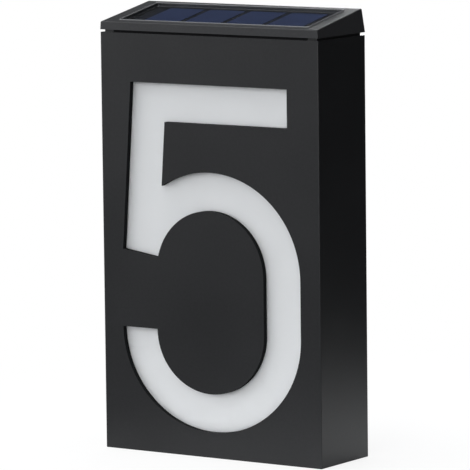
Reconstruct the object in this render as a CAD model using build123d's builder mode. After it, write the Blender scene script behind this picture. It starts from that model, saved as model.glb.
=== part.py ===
"""Illuminated house number sign.

A box case with a numeral cut through its front wall, an opal panel lit from behind, and a wedge lid
that carries a solar module. The back cover holds the cell, the control board and the on/off switch.

Millimetres. X runs to the right seen from the front, Y runs from the front face to the wall and Z is up.
The origin is the centre of the sign's footprint, on the surface that it stands on.
"""

import math
import os

from build123d import *

os.makedirs("parts", exist_ok=True)

# ---------------------------------------------------------------- case sizes
case_width = 112.0
case_depth = 37.0
case_height = 182.0
case_wall = 2.5
case_roof = 2.0
edge_radius = 0.4
fin_thickness = 1.2        # fins that centre the opal panel
fin_length = 8.0
fin_pitch_up = 50.0        # between the three fins on each side wall
fin_pitch_across = 40.0    # between the two fins on the base and on the roof
drain_x = 30.0
drain_y = 8.0
drain_radius = 1.5

# ---------------------------------------------------------------- clearances
drop_in_gap = 0.3          # round a piece that drops into another
running_gap = 0.15         # beside a piece that slides
thread_gap = 0.05          # between a screw's shank and its pilot hole

# ------------------------------------------------------------- numeral sizes
numeral_height = 150.0
numeral_base = 11.0        # from the base of the case to the foot of the numeral
numeral_width = 92.0
stroke_width = 18.8        # upright strokes
bowl_left_stroke = 18.05   # upright stroke on the left of the bowl
curve_thickness = 16.7     # bar and the top and bottom of the bowl
bar_left = -40.5
bar_right = 40.0
stem_lean = 4.0            # degrees from upright
foot_height = 77.1         # from the base of the numeral to the stem's foot
foot_slant = 8.4           # degrees below level
bowl_height = 112.6        # from the base of the numeral to the crown of the bowl
bowl_top_rise = 44.3       # from the upper springing line to the crown
bowl_bottom_drop = 43.2    # from the lower springing line to the base
half_turn = 180.0          # degrees

# ------------------------------------------------------- lid and solar sizes
reveal_height = 1.1        # shadow gap between case and lid
neck_inset = 1.5
neck_width = 1.2
lid_front_height = 3.5
lid_rear_height = 10.1
lid_side_draft = 5.0       # degrees
lid_back_lean = 7.0        # degrees
lid_top_radius = 0.35
lid_rim = 5.6              # solid rim round the hollow under the lid
lid_floor = 1.2            # under the solar module
window_width = 97.0
window_depth = 29.4
window_front_rim = 3.8
window_corner = 1.0
window_recess = 0.65       # from the top of the lid down to the glass
glass_thickness = 1.2
cell_thickness = 0.3
backing_thickness = 1.0
cell_count = 4
cell_width = 18.2
cell_length = 22.4
cell_pitch = 21.1
cell_rear_margin = 1.1     # from the rear edge of the glass to the cells
lid_screw_x = 30.0
lid_screw_y = 9.0
lid_screw_grip = 5.6
lid_screw_head = 2.4       # radius
lid_screw_dome = 1.6       # height of the head
lid_screw_shank = 1.1      # radius
lid_pilot_depth = 4.2
lid_boss_radius = 3.0
lid_lead_radius = 2.2      # hole for the solar leads in the lid
roof_lead_radius = 3.0     # hole for the solar leads in the roof
roof_lead_x = 12.0
roof_lead_y = 5.0
hollow_least = 0.6         # least height of the hollow under the lid's floor
hook_x = 34.0
hook_width = 8.0
hook_thickness = 1.5
hook_reach = 1.3
hook_toe = 1.5
hook_front = -12.0         # front face of the hook's leg

# ------------------------------------------------------------ light box sizes
ledge_width = 2.5
ledge_thickness = 2.0
diffuser_thickness = 2.0
tray_wall = 1.5
tray_depth = 14.0
strip_x = 25.0
strip_width = 8.0
strip_length = 132.0
strip_thickness = 1.0
chip_count = 4             # on each strip
chip_pitch = 34.0
chip_width = 2.8
chip_height = 3.5
chip_thickness = 0.8
tray_lead_hole = 4.5       # radius

# ------------------------------------------------------------ back cover sizes
cover_thickness = 2.5
cover_corner = 1.5
back_seal_thickness = 1.0
back_seal_width = 2.0
boss_inset = 6.8           # from the inner walls to the centre of a corner boss
boss_radius = 3.5
pilot_radius = 1.25
pilot_depth = 12.0
cover_screw_head = 2.8     # radius
cover_screw_grip = 10.0
rib_thickness = 1.5
rib_height = 3.0
rib_end_gap = 2.0          # from the end of a rib to the corner bosses
low_rib_drop = 30.0        # from the cell's axis down to the lowest rib
high_rib_rise = 5.3        # from the hoods up to the highest rib
post_radius = 3.0
low_post_x = 40.0
low_post_rise = 20.0       # above the base
high_post_x = 20.0
high_post_drop = 32.0      # below the top of the case
keyhole_x = 35.0
keyhole_drop = 36.0        # from the top of the case to the entry's centre
keyhole_entry_radius = 5.0
keyhole_slot_width = 5.0
keyhole_slot_rise = 8.0    # from the entry's centre to the slot's end centre
hood_wall = 1.2
hood_depth = 5.0
hood_margin = 2.0          # round the keyhole, inside the hood

# -------------------------------------------------------- cell and well sizes
cell_radius = 7.25
battery_length = 50.5
battery_nub_radius = 2.75
battery_nub_height = 1.2
battery_shoulder = 0.8     # radius of the cell's rounded ends
well_height = 60.0         # height of the cell's axis
well_wall = 1.5
well_floor = 1.2
flange_margin = 2.0        # thickened rim round the mouth of the well
lead_exit_rise = 3.0       # from the floor of the well to the leads
spring_length = 9.0
spring_wire = 0.8
spring_radius = 3.6        # to the middle of the wire
spring_turns = 3
spring_bend = 1.0          # radius of the bend at each tail
contact_thickness = 0.4
contact_width = 12.0
contact_corner = 0.8
door_width = 78.0
door_height = 24.0
door_thickness = 2.0
door_corner = 2.5
door_seal_thickness = 0.8
door_seal_width = 1.6
door_ledge_thickness = 2.0
door_screw_x = 34.8
door_screw_head = 2.2      # radius
door_screw_shank = 1.0     # radius
door_screw_length = 7.0
door_boss_radius = 2.6
door_notch_width = 12.0
door_notch_depth = 1.0

# ----------------------------------------------------- board and switch sizes
board_height = 105.0       # height of the board's centre
board_width = 44.0
board_tall = 28.0
board_thickness = 1.6
board_post_x = 17.5
board_post_length = 5.0
board_post_radius = 2.6
board_screw_head = 1.9     # radius
board_screw_dome = 1.3     # height of the head
board_screw_shank = 0.95   # radius
board_screw_grip = 5.0
part_row_drop = 7.5        # from the board's centre down to the chip and the coil
chip_x = -8.0
chip_body_width = 6.0
chip_body_tall = 5.0
chip_body_thickness = 1.6
coil_radius = 2.6
coil_height = 4.2
capacitor_x = 9.0
capacitor_drop = 6.5       # from the board's centre
capacitor_radius = 2.5
capacitor_height = 6.0
pad_reach = 1.6            # from the edge of the board to a solder pad
low_pad_rise = 7.0         # from the board's centre up to the cell's solder pads
switch_body_width = 8.6
switch_body_tall = 3.8
switch_body_depth = 3.5
switch_travel = 2.5
switch_lever_width = 1.6
switch_lever_tall = 1.4
switch_pocket_depth = 1.5
knob_width = 4.2
knob_tall = 4.2
knob_flange_width = 9.0
knob_flange_tall = 6.4
knob_flange_thickness = 1.0
knob_below_face = 0.3      # from the back of the sign to the knob's top
grip_groove = 0.35
grip_pitch = 1.1
grip_count = 3
switch_recess_width = 16.0
switch_recess_tall = 9.0
switch_recess_depth = 1.3

# ---------------------------------------------------------------- wire sizes
supply_wire = 1.2          # diameter of the solar and cell leads
light_wire = 1.0           # diameter of the leads to the strips
lead_bend = 3.6            # bend radius of an inner lead
lead_spacing = 2.4
light_bend = 3.0           # bend radius of a lead to the strips
light_pad_x = 5.0          # first solder pad of the strips on the board
light_lead_rise = 14.6     # from the solder pads up to the hole in the light box
light_lead_drop = 8.0
supply_lead_x = 36.0       # where the cell's leads rise beside the well

# --------------------------------------------------------------- screw sizes
recess_length = 0.55       # of the head's diameter
recess_width = 0.16        # of the head's diameter
recess_depth = 0.9
head_rim = 0.15
countersink_angle = 90.0

# ------------------------------------------------------------- derived places
front_y = -case_depth / 2
back_y = case_depth / 2
front_plane = Plane.XZ.offset(-front_y)
back_plane = Plane.XZ.offset(-back_y)
inner_half_width = case_width / 2 - case_wall
cavity_top = case_height - case_roof
cavity_height = cavity_top - case_wall
cavity_middle = (cavity_top + case_wall) / 2
cover_inner_y = back_y - cover_thickness
ledge_rear_y = cover_inner_y - back_seal_thickness
boss_x = inner_half_width - boss_inset
boss_low_z = case_wall + boss_inset
boss_high_z = cavity_top - boss_inset
boss_points = [(x, z) for x in (-boss_x, boss_x) for z in (boss_low_z, boss_high_z)]
panel_front_y = front_y + case_wall
tray_front_y = panel_front_y + diffuser_thickness
tray_back_y = tray_front_y + tray_depth
tray_floor_y = tray_back_y - tray_wall
panel_width = 2 * (inner_half_width - ledge_width - drop_in_gap)
panel_height = cavity_height - 2 * (ledge_width + drop_in_gap)
lid_bottom = case_height + reveal_height
lid_front_top = lid_bottom + lid_front_height
lid_rear_y = back_y - lid_rear_height * math.tan(math.radians(lid_back_lean))
lid_slope = math.degrees(math.atan2(lid_rear_height - lid_front_height, lid_rear_y - front_y))
keyhole_height = case_height - keyhole_drop
pad_high_z = board_height + board_tall / 2 - pad_reach
tray_lead_height = pad_high_z + light_lead_rise
countersink_gap = head_rim + thread_gap


def place_on_y(x: float, y: float, z: float) -> Plane:
    """Plane at a point, facing the wall."""
    return Plane(origin=(x, y, z), x_dir=(1, 0, 0), z_dir=(0, 1, 0))


# ------------------------------------------------------------------- numeral
numeral_top = numeral_base + numeral_height
crown_z = numeral_base + bowl_height
upper_spring_z = crown_z - bowl_top_rise
lower_spring_z = numeral_base + bowl_bottom_drop
lean_run = math.tan(math.radians(stem_lean))
foot_corner_z = numeral_base + foot_height
foot_corner_x = bar_left - lean_run * (numeral_top - foot_corner_z)
counter_top_z = crown_z - curve_thickness
foot_fall = math.tan(math.radians(foot_slant))


def oval(left: float, right: float, rise: float, drop: float) -> Curve:
    """Closed outline of two half ellipses joined by straight sides."""
    middle = (left + right) / 2
    half_width = (right - left) / 2
    with BuildLine() as outline:
        EllipticalCenterArc((middle, upper_spring_z), half_width, rise, 0, arc_size=half_turn)
        Line((left, upper_spring_z), (left, lower_spring_z))
        EllipticalCenterArc((middle, lower_spring_z), half_width, drop, half_turn, arc_size=half_turn)
        Line((right, lower_spring_z), (right, upper_spring_z))
    return outline.line


outer_oval = oval(-numeral_width / 2, numeral_width / 2, bowl_top_rise, bowl_bottom_drop)
inner_oval = oval(
    bowl_left_stroke - numeral_width / 2,
    numeral_width / 2 - stroke_width,
    bowl_top_rise - curve_thickness,
    bowl_bottom_drop - curve_thickness,
)

with BuildSketch(front_plane) as numeral:
    with BuildLine():
        add(outer_oval)
    make_face()
    with BuildLine():
        add(inner_oval)
    make_face(mode=Mode.SUBTRACT)
    # The bowl is open on the left, from the lower springing line up to the slanted foot.
    with BuildLine():
        Polyline(
            (-case_width / 2, lower_spring_z),
            (0, lower_spring_z),
            (0, foot_corner_z + foot_fall * foot_corner_x),
            (foot_corner_x, foot_corner_z),
            (bar_left, numeral_top),
            (-case_width / 2, numeral_top),
            close=True,
        )
    make_face(mode=Mode.SUBTRACT)
    # Leaning stem, from the bar down to the slanted foot.
    with BuildLine():
        Polyline(
            (bar_left, numeral_top),
            (bar_left + stroke_width, numeral_top),
            (bar_left + stroke_width - lean_run * (numeral_top - counter_top_z), counter_top_z),
            (foot_corner_x + bowl_left_stroke, foot_corner_z),
            (foot_corner_x + bowl_left_stroke, foot_corner_z - foot_fall * bowl_left_stroke),
            (foot_corner_x, foot_corner_z),
            close=True,
        )
    make_face()
    # Top bar.
    with Locations((bar_right, numeral_top)):
        Rectangle(
            bar_right - bar_left - stroke_width / 2,
            curve_thickness,
            align=(Align.MAX, Align.MAX),
        )


# ---------------------------------------------------------------- front case
fin_height = ledge_width
hook_slot_length = hook_thickness + hook_reach + 2 * drop_in_gap
roof_plane = Plane.XY.offset(case_height)
inner_half_span = inner_half_width - ledge_width

with BuildPart() as front_case:
    with BuildSketch(Plane.XY):
        Rectangle(case_width, case_depth)
    extrude(amount=case_height)
    fillet(front_case.edges().filter_by(Axis.Z), edge_radius)
    fillet(front_case.faces().sort_by(Axis.Z)[0].edges(), edge_radius)

    # Open back.
    with BuildSketch(back_plane):
        with Locations((0, cavity_middle)):
            Rectangle(2 * inner_half_width, cavity_height)
    extrude(amount=case_depth - case_wall, mode=Mode.SUBTRACT)

    # Ledge that carries the ring seal.
    with BuildSketch(Plane.XZ.offset(-ledge_rear_y)):
        with Locations((0, cavity_middle)):
            Rectangle(2 * inner_half_width, cavity_height)
            Rectangle(
                2 * inner_half_span,
                cavity_height - 2 * ledge_width,
                mode=Mode.SUBTRACT,
            )
    extrude(amount=ledge_thickness)

    # Corner bosses, each webbed to the two walls beside it.
    with BuildSketch(Plane.XZ.offset(-panel_front_y)):
        with Locations(*boss_points):
            Circle(boss_radius)
    extrude(amount=-(cover_inner_y - panel_front_y))
    with BuildSketch(Plane.XZ.offset(-panel_front_y)):
        for x, z in boss_points:
            side = math.copysign(1, x)
            level = math.copysign(1, z - cavity_middle)
            with Locations((x + side * boss_inset / 2, z)):
                Rectangle(boss_inset, rib_thickness)
            wall_z = case_wall if level < 0 else cavity_top
            with Locations((x, (z + wall_z) / 2)):
                Rectangle(rib_thickness, abs(wall_z - z))
    extrude(amount=-(ledge_rear_y - ledge_thickness - panel_front_y))
    with BuildSketch(Plane.XZ.offset(-cover_inner_y)):
        with Locations(*boss_points):
            Circle(pilot_radius)
    extrude(amount=pilot_depth, mode=Mode.SUBTRACT)

    # Fins that centre the opal panel and the light box.
    with BuildSketch(Plane.XZ.offset(-panel_front_y)):
        with Locations((0, cavity_middle)):
            with GridLocations(2 * inner_half_width - fin_height, fin_pitch_up, 2, 3):
                Rectangle(fin_height, fin_thickness)
            with GridLocations(fin_pitch_across, cavity_height - fin_height, 2, 2):
                Rectangle(fin_thickness, fin_height)
    extrude(amount=-fin_length)

    # Numeral through the front wall.
    extrude(numeral.sketch, amount=-case_wall, mode=Mode.SUBTRACT)

    # Neck under the lid, set back to leave the shadow gap.
    with BuildSketch(roof_plane):
        Rectangle(case_width - 2 * neck_inset, case_depth - 2 * neck_inset)
        Rectangle(
            case_width - 2 * (neck_inset + neck_width),
            case_depth - 2 * (neck_inset + neck_width),
            mode=Mode.SUBTRACT,
        )
    extrude(amount=reveal_height)

    # Roof openings: lid screws, hooks and the solar leads.
    with BuildSketch(roof_plane):
        with Locations((-lid_screw_x, lid_screw_y), (lid_screw_x, lid_screw_y)):
            Circle(pilot_radius + drop_in_gap)
        with Locations((roof_lead_x, roof_lead_y)):
            Circle(roof_lead_radius)
        with Locations((-hook_x, hook_front - drop_in_gap), (hook_x, hook_front - drop_in_gap)):
            Rectangle(
                hook_width + 2 * drop_in_gap,
                hook_slot_length,
                align=(Align.CENTER, Align.MIN),
            )
    extrude(amount=-case_roof, mode=Mode.SUBTRACT)

    # Drain holes in the base.
    with BuildSketch(Plane.XY):
        with Locations((-drain_x, drain_y), (drain_x, drain_y)):
            Circle(drain_radius)
    extrude(amount=case_wall, mode=Mode.SUBTRACT)

front_case.part.label = "front_case"
export_step(front_case.part, "parts/front_case.step")


# ------------------------------------------------------- opal panel and tray
notch_reach = boss_inset + boss_radius - ledge_width


def notched_panel(width: float, height: float, notch: float) -> Sketch:
    """Rectangle with its corners cut away round the corner bosses."""
    with BuildSketch() as outline:
        Rectangle(width, height)
        with GridLocations(width - notch, height - notch, 2, 2):
            Rectangle(notch, notch, mode=Mode.SUBTRACT)
    return outline.sketch


panel_outline = notched_panel(panel_width, panel_height, notch_reach)
tray_inside = notched_panel(panel_width - 2 * tray_wall, panel_height - 2 * tray_wall, notch_reach)

with BuildPart() as diffuser_panel:
    with BuildSketch(Plane.XZ.offset(-panel_front_y)):
        with Locations((0, cavity_middle)):
            add(panel_outline)
    extrude(amount=-diffuser_thickness)

diffuser_panel.part.label = "diffuser_panel"
export_step(diffuser_panel.part, "parts/diffuser_panel.step")

with BuildPart() as reflector_tray:
    with BuildSketch(Plane.XZ.offset(-tray_front_y)):
        with Locations((0, cavity_middle)):
            add(panel_outline)
    extrude(amount=-tray_depth)
    with BuildSketch(Plane.XZ.offset(-tray_front_y)):
        with Locations((0, cavity_middle)):
            add(tray_inside)
    extrude(amount=-(tray_depth - tray_wall), mode=Mode.SUBTRACT)
    with BuildSketch(Plane.XZ.offset(-tray_floor_y)):
        with Locations((0, tray_lead_height)):
            Circle(tray_lead_hole)
    extrude(amount=-tray_wall, mode=Mode.SUBTRACT)

reflector_tray.part.label = "reflector_tray"
export_step(reflector_tray.part, "parts/reflector_tray.step")

# -------------------------------------------------------------- light strips
strip_face_y = tray_floor_y - strip_thickness


def light_strip(x: float) -> Part:
    """One strip, flat on the floor of the tray."""
    with BuildPart() as strip:
        with BuildSketch(Plane.XZ.offset(-tray_floor_y)):
            with Locations((x, cavity_middle)):
                Rectangle(strip_width, strip_length)
        extrude(amount=strip_thickness)
    return strip.part


led_strip_left = light_strip(-strip_x)
led_strip_left.label = "led_strip_left"
export_step(led_strip_left, "parts/led_strip_left.step")

led_strip_right = light_strip(strip_x)
led_strip_right.label = "led_strip_right"
export_step(led_strip_right, "parts/led_strip_right.step")

with BuildPart() as led_chips:
    with BuildSketch(Plane.XZ.offset(-strip_face_y)):
        with Locations((0, cavity_middle)):
            with GridLocations(2 * strip_x, chip_pitch, 2, chip_count):
                Rectangle(chip_width, chip_height)
    extrude(amount=chip_thickness)

led_chips.part.label = "led_chips"
export_step(led_chips.part, "parts/led_chips.step")


# -------------------------------------------------------------------- screws
def screw(head: list, shank_radius: float, length: float) -> Part:
    """Cross-head screw along Z, from its head's outline as (radius, height) pairs below the origin."""
    head_radius = max(radius for radius, height in head)
    head_foot = head[-1][1]
    with BuildPart() as body:
        with BuildSketch(Plane.XZ):
            with BuildLine():
                Polyline(
                    (0, 0),
                    *head,
                    (shank_radius, head_foot),
                    (shank_radius, head_foot - length + shank_radius),
                    (0, head_foot - length),
                    close=True,
                )
            make_face()
        revolve(axis=Axis.Z)
        with BuildSketch(Plane.XY):
            Rectangle(2 * head_radius * recess_length, 2 * head_radius * recess_width)
            Rectangle(2 * head_radius * recess_width, 2 * head_radius * recess_length)
        extrude(amount=-recess_depth, mode=Mode.SUBTRACT)
    return body.part


def flush_head(radius: float, shank_radius: float) -> list:
    """Right-angled cone under a thin rim."""
    return [(radius, 0), (radius, -head_rim), (shank_radius + head_rim, shank_radius - radius)]


def dome_head(radius: float, height: float) -> list:
    """Low dome over a flat seat."""
    return [(radius / 2, 0), (radius, -height / 2), (radius, -height)]


# ---------------------------------------------------------------- back cover
cover_screw_shank = pilot_radius - thread_gap
cover_width = 2 * (inner_half_width - drop_in_gap)
cover_height = cavity_height - 2 * drop_in_gap
well_inner_tall = 2 * (cell_radius + drop_in_gap)
well_inner_width = battery_length + spring_length + 2 * contact_thickness
door_seat_y = back_y - door_thickness
door_ledge_y = door_seat_y - door_seal_thickness
cell_axis_y = door_seat_y - drop_in_gap - cell_radius
well_floor_y = cell_axis_y - cell_radius - drop_in_gap
flange_front_y = door_ledge_y - door_ledge_thickness
door_boss_length = door_screw_length - door_thickness + well_wall
knob_top_y = back_y - knob_below_face
hood_half_width = keyhole_entry_radius + hood_margin + hood_wall
hood_low_z = keyhole_height - keyhole_entry_radius - hood_margin - hood_wall
hood_high_z = keyhole_height + keyhole_slot_rise + keyhole_slot_width / 2 + hood_margin + hood_wall
flange_high_z = well_height + door_height / 2 + flange_margin
board_low_z = board_height - board_tall / 2
board_high_z = board_height + board_tall / 2
cross_rib_levels = (
    well_height - low_rib_drop,
    (flange_high_z + board_low_z) / 2,
    (board_high_z + hood_low_z) / 2,
    hood_high_z + high_rib_rise,
)
rib_reach = boss_x - boss_radius - rib_end_gap
high_post_z = case_height - high_post_drop
post_points = [
    (-low_post_x, low_post_rise),
    (low_post_x, low_post_rise),
    (-high_post_x, high_post_z),
    (high_post_x, high_post_z),
]
lead_hole_radius = supply_wire / 2 + drop_in_gap
lead_exit_y = well_floor_y + lead_exit_rise
board_back_y = cover_inner_y - board_post_length
board_front_y = board_back_y - board_thickness
slot_width = knob_width + switch_travel + 2 * running_gap
slot_tall = knob_tall + 2 * running_gap
cover_screw_planes = [place_on_y(x, back_y, z) for x, z in boss_points]
door_screw_planes = [place_on_y(x, back_y, well_height) for x in (-door_screw_x, door_screw_x)]

with BuildPart() as back_cover:
    with BuildSketch(back_plane):
        with Locations((0, cavity_middle)):
            RectangleRounded(cover_width, cover_height, cover_corner)
    extrude(amount=cover_thickness)

    # Stiffening ribs across the inside.
    with BuildSketch(Plane.XZ.offset(-cover_inner_y)):
        for z in cross_rib_levels:
            with Locations((0, z)):
                Rectangle(2 * rib_reach, rib_thickness)
    extrude(amount=rib_height)

    # Hoods that close the keyholes off from the inside.
    with BuildSketch(Plane.XZ.offset(-cover_inner_y)):
        for x in (-keyhole_x, keyhole_x):
            with Locations((x, (hood_low_z + hood_high_z) / 2)):
                RectangleRounded(2 * hood_half_width, hood_high_z - hood_low_z, hood_margin)
    extrude(amount=hood_depth + hood_wall)
    with BuildSketch(Plane.XZ.offset(-cover_inner_y)):
        for x in (-keyhole_x, keyhole_x):
            with Locations((x, (hood_low_z + hood_high_z) / 2)):
                Rectangle(2 * (hood_half_width - hood_wall), hood_high_z - hood_low_z - 2 * hood_wall)
    extrude(amount=hood_depth, mode=Mode.SUBTRACT)
    with BuildSketch(back_plane):
        for x in (-keyhole_x, keyhole_x):
            with Locations((x, keyhole_height)):
                Circle(keyhole_entry_radius)
            with Locations((x, keyhole_height + keyhole_slot_rise / 2)):
                SlotCenterToCenter(keyhole_slot_rise, keyhole_slot_width, rotation=90)
    extrude(amount=cover_thickness, mode=Mode.SUBTRACT)

    # Posts that hold the light box against the opal panel.
    with BuildSketch(Plane.XZ.offset(-cover_inner_y)):
        with Locations(*post_points):
            Circle(post_radius)
    extrude(amount=cover_inner_y - tray_back_y)

    # Cell well: thickened mouth, screw bosses, box walls and the box itself.
    with BuildSketch(Plane.XZ.offset(-cover_inner_y)):
        with Locations((0, well_height)):
            RectangleRounded(
                door_width + 2 * flange_margin,
                door_height + 2 * flange_margin,
                door_corner + flange_margin,
            )
    extrude(amount=cover_inner_y - flange_front_y)
    with BuildSketch(Plane.XZ.offset(-flange_front_y)):
        with Locations((-door_screw_x, well_height), (door_screw_x, well_height)):
            Circle(door_boss_radius)
    extrude(amount=door_boss_length)
    with BuildSketch(Plane.XZ.offset(-flange_front_y)):
        with Locations((0, well_height)):
            Rectangle(well_inner_width + 2 * well_wall, well_inner_tall + 2 * well_wall)
    extrude(amount=flange_front_y - well_floor_y + well_floor)
    with BuildSketch(back_plane):
        with Locations((0, well_height)):
            RectangleRounded(
                door_width + 2 * drop_in_gap,
                door_height + 2 * drop_in_gap,
                door_corner + drop_in_gap,
            )
    extrude(amount=door_thickness + door_seal_thickness, mode=Mode.SUBTRACT)
    with BuildSketch(Plane.XZ.offset(-door_ledge_y)):
        with Locations((0, well_height)):
            Rectangle(well_inner_width, well_inner_tall)
    extrude(amount=door_ledge_y - well_floor_y, mode=Mode.SUBTRACT)
    with BuildSketch(Plane.XZ.offset(-door_ledge_y)):
        with Locations((-door_screw_x, well_height), (door_screw_x, well_height)):
            Circle(door_screw_shank + thread_gap)
    extrude(amount=door_ledge_y - flange_front_y + door_boss_length - well_wall, mode=Mode.SUBTRACT)
    # Lead holes through both ends of the well.
    with BuildSketch(Plane.YZ.offset(-(well_inner_width / 2 + well_wall))):
        with Locations((lead_exit_y, well_height)):
            Circle(lead_hole_radius)
    extrude(amount=well_wall, mode=Mode.SUBTRACT)
    with BuildSketch(Plane.YZ.offset(well_inner_width / 2)):
        with Locations((lead_exit_y, well_height)):
            Circle(lead_hole_radius)
    extrude(amount=well_wall, mode=Mode.SUBTRACT)

    # Recess and slot of the on/off switch.
    with BuildSketch(back_plane):
        with Locations((0, board_height)):
            RectangleRounded(switch_recess_width, switch_recess_tall, cover_corner)
    extrude(amount=switch_recess_depth, mode=Mode.SUBTRACT)
    with BuildSketch(back_plane):
        with Locations((0, board_height)):
            Rectangle(slot_width, slot_tall)
    extrude(amount=cover_thickness, mode=Mode.SUBTRACT)

    # Posts of the control board.
    with BuildSketch(Plane.XZ.offset(-cover_inner_y)):
        with Locations((-board_post_x, board_height), (board_post_x, board_height)):
            Circle(board_post_radius)
            Circle(board_screw_shank + thread_gap, mode=Mode.SUBTRACT)
    extrude(amount=board_post_length)

    # Countersunk holes over the corner bosses.
    with Locations(*cover_screw_planes):
        CounterSinkHole(
            radius=cover_screw_shank + drop_in_gap,
            counter_sink_radius=cover_screw_head + countersink_gap,
            depth=cover_thickness,
            counter_sink_angle=countersink_angle,
        )

back_cover.part.label = "back_cover"
export_step(back_cover.part, "parts/back_cover.step")

with BuildPart() as back_seal:
    with BuildSketch(Plane.XZ.offset(-cover_inner_y)):
        with Locations((0, cavity_middle)):
            Rectangle(cover_width, cover_height)
            Rectangle(
                cover_width - 2 * back_seal_width,
                cover_height - 2 * back_seal_width,
                mode=Mode.SUBTRACT,
            )
    extrude(amount=back_seal_thickness)

back_seal.part.label = "back_seal"
export_step(back_seal.part, "parts/back_seal.step")

cover_screw = screw(flush_head(cover_screw_head, cover_screw_shank), cover_screw_shank, cover_screw_grip)
with BuildPart() as cover_screws:
    with Locations(*cover_screw_planes):
        add(cover_screw)

cover_screws.part.label = "cover_screws"
export_step(cover_screws.part, "parts/cover_screws.step")

# -------------------------------------------------------------- battery door
with BuildPart() as battery_door:
    with BuildSketch(back_plane):
        with Locations((0, well_height)):
            RectangleRounded(door_width, door_height, door_corner)
    extrude(amount=door_thickness)
    # Shallow notch for a fingernail along the lower edge.
    with BuildSketch(back_plane):
        with Locations((0, well_height - door_height / 2)):
            SlotOverall(door_notch_width, 2 * door_notch_depth)
    extrude(amount=door_notch_depth, mode=Mode.SUBTRACT)
    with Locations(*door_screw_planes):
        CounterSinkHole(
            radius=door_screw_shank + thread_gap,
            counter_sink_radius=door_screw_head + countersink_gap,
            depth=door_thickness,
            counter_sink_angle=countersink_angle,
        )

battery_door.part.label = "battery_door"
export_step(battery_door.part, "parts/battery_door.step")

with BuildPart() as battery_door_seal:
    with BuildSketch(Plane.XZ.offset(-door_seat_y)):
        with Locations((0, well_height)):
            Rectangle(
                well_inner_width + 2 * (drop_in_gap + door_seal_width),
                well_inner_tall + 2 * (drop_in_gap + door_seal_width),
            )
            Rectangle(
                well_inner_width + 2 * drop_in_gap,
                well_inner_tall + 2 * drop_in_gap,
                mode=Mode.SUBTRACT,
            )
    extrude(amount=door_seal_thickness)

battery_door_seal.part.label = "battery_door_seal"
export_step(battery_door_seal.part, "parts/battery_door_seal.step")

door_screw = screw(flush_head(door_screw_head, door_screw_shank), door_screw_shank, door_screw_length)
with BuildPart() as battery_door_screws:
    with Locations(*door_screw_planes):
        add(door_screw)

battery_door_screws.part.label = "battery_door_screws"
export_step(battery_door_screws.part, "parts/battery_door_screws.step")

# ---------------------------------------------------- cell, spring, contacts
well_left_x = -well_inner_width / 2
well_right_x = well_inner_width / 2
spring_start_x = well_left_x + contact_thickness
cell_start_x = spring_start_x + spring_length
cell_can_end_x = cell_start_x + battery_length - battery_nub_height

with BuildPart() as battery_cell:
    with BuildSketch(Plane.YZ.offset(cell_start_x)):
        with Locations((cell_axis_y, well_height)):
            Circle(cell_radius)
    extrude(amount=battery_length - battery_nub_height)
    fillet(battery_cell.edges().filter_by(GeomType.CIRCLE), battery_shoulder)
    with BuildSketch(Plane.YZ.offset(cell_can_end_x)):
        with Locations((cell_axis_y, well_height)):
            Circle(battery_nub_radius)
    extrude(amount=battery_nub_height)

battery_cell.part.label = "battery_cell"
export_step(battery_cell.part, "parts/battery_cell.step")

contact_tall = min(contact_width, well_inner_tall)
with BuildPart() as battery_contacts:
    with BuildSketch(Plane.YZ.offset(well_left_x)):
        with Locations((cell_axis_y, well_height)):
            RectangleRounded(contact_width, contact_tall, contact_corner)
    extrude(amount=contact_thickness)
    with BuildSketch(Plane.YZ.offset(well_right_x - contact_thickness)):
        with Locations((cell_axis_y, well_height)):
            RectangleRounded(contact_width, contact_tall, contact_corner)
    extrude(amount=contact_thickness)

battery_contacts.part.label = "battery_contacts"
export_step(battery_contacts.part, "parts/battery_contacts.step")


def helix_point(turn: float, first_x: float, pitch: float) -> Vector:
    """Middle of the wire after so many turns about the cell's axis."""
    angle = 2 * math.pi * turn
    return Vector(
        first_x + pitch * turn,
        cell_axis_y + spring_radius * math.cos(angle),
        well_height + spring_radius * math.sin(angle),
    )


def helix_heading(turn: float, pitch: float) -> Vector:
    """Direction of the wire after so many turns."""
    angle = 2 * math.pi * turn
    around = 2 * math.pi * spring_radius
    return Vector(pitch, -around * math.sin(angle), around * math.cos(angle)).normalized()


def biarc(start: Vector, start_heading: Vector, end: Vector, end_heading: Vector) -> list:
    """Two arcs that meet smoothly, as (from, to, heading at from)."""
    across = end - start
    headings = start_heading + end_heading
    spread = 2 * (1 - start_heading.dot(end_heading))
    along = across.dot(headings)
    reach = (math.sqrt(along**2 + spread * across.dot(across)) - along) / spread
    first_handle = start + start_heading * reach
    second_handle = end - end_heading * reach
    middle = (first_handle + second_handle) / 2
    return [(start, middle, start_heading), (middle, end, (second_handle - first_handle).normalized())]


# Each tail runs straight out of the plate or the cell and bends once into the coil.
tail_length = spring_wire
coil_start_x = spring_start_x + tail_length + spring_bend
coil_length = spring_length - 2 * (tail_length + spring_bend)
coil_pitch = coil_length / spring_turns
half_turns = 2 * spring_turns
axial = Vector(1, 0, 0)

spring_arcs = []
for half in range(half_turns):
    spring_arcs += biarc(
        helix_point(half / 2, coil_start_x, coil_pitch),
        helix_heading(half / 2, coil_pitch),
        helix_point((half + 1) / 2, coil_start_x, coil_pitch),
        helix_heading((half + 1) / 2, coil_pitch),
    )
coil_first = helix_point(0, coil_start_x, coil_pitch)
coil_last = helix_point(spring_turns, coil_start_x, coil_pitch)
coil_heading = helix_heading(0, coil_pitch)
bend_back = (axial + coil_heading) * (spring_bend / (1 + axial.dot(coil_heading)))
tail_in = coil_first - bend_back
tail_out = coil_last + bend_back
spring_foot = Vector(spring_start_x, tail_in.Y, tail_in.Z)
spring_tip = Vector(cell_start_x, tail_out.Y, tail_out.Z)

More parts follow.
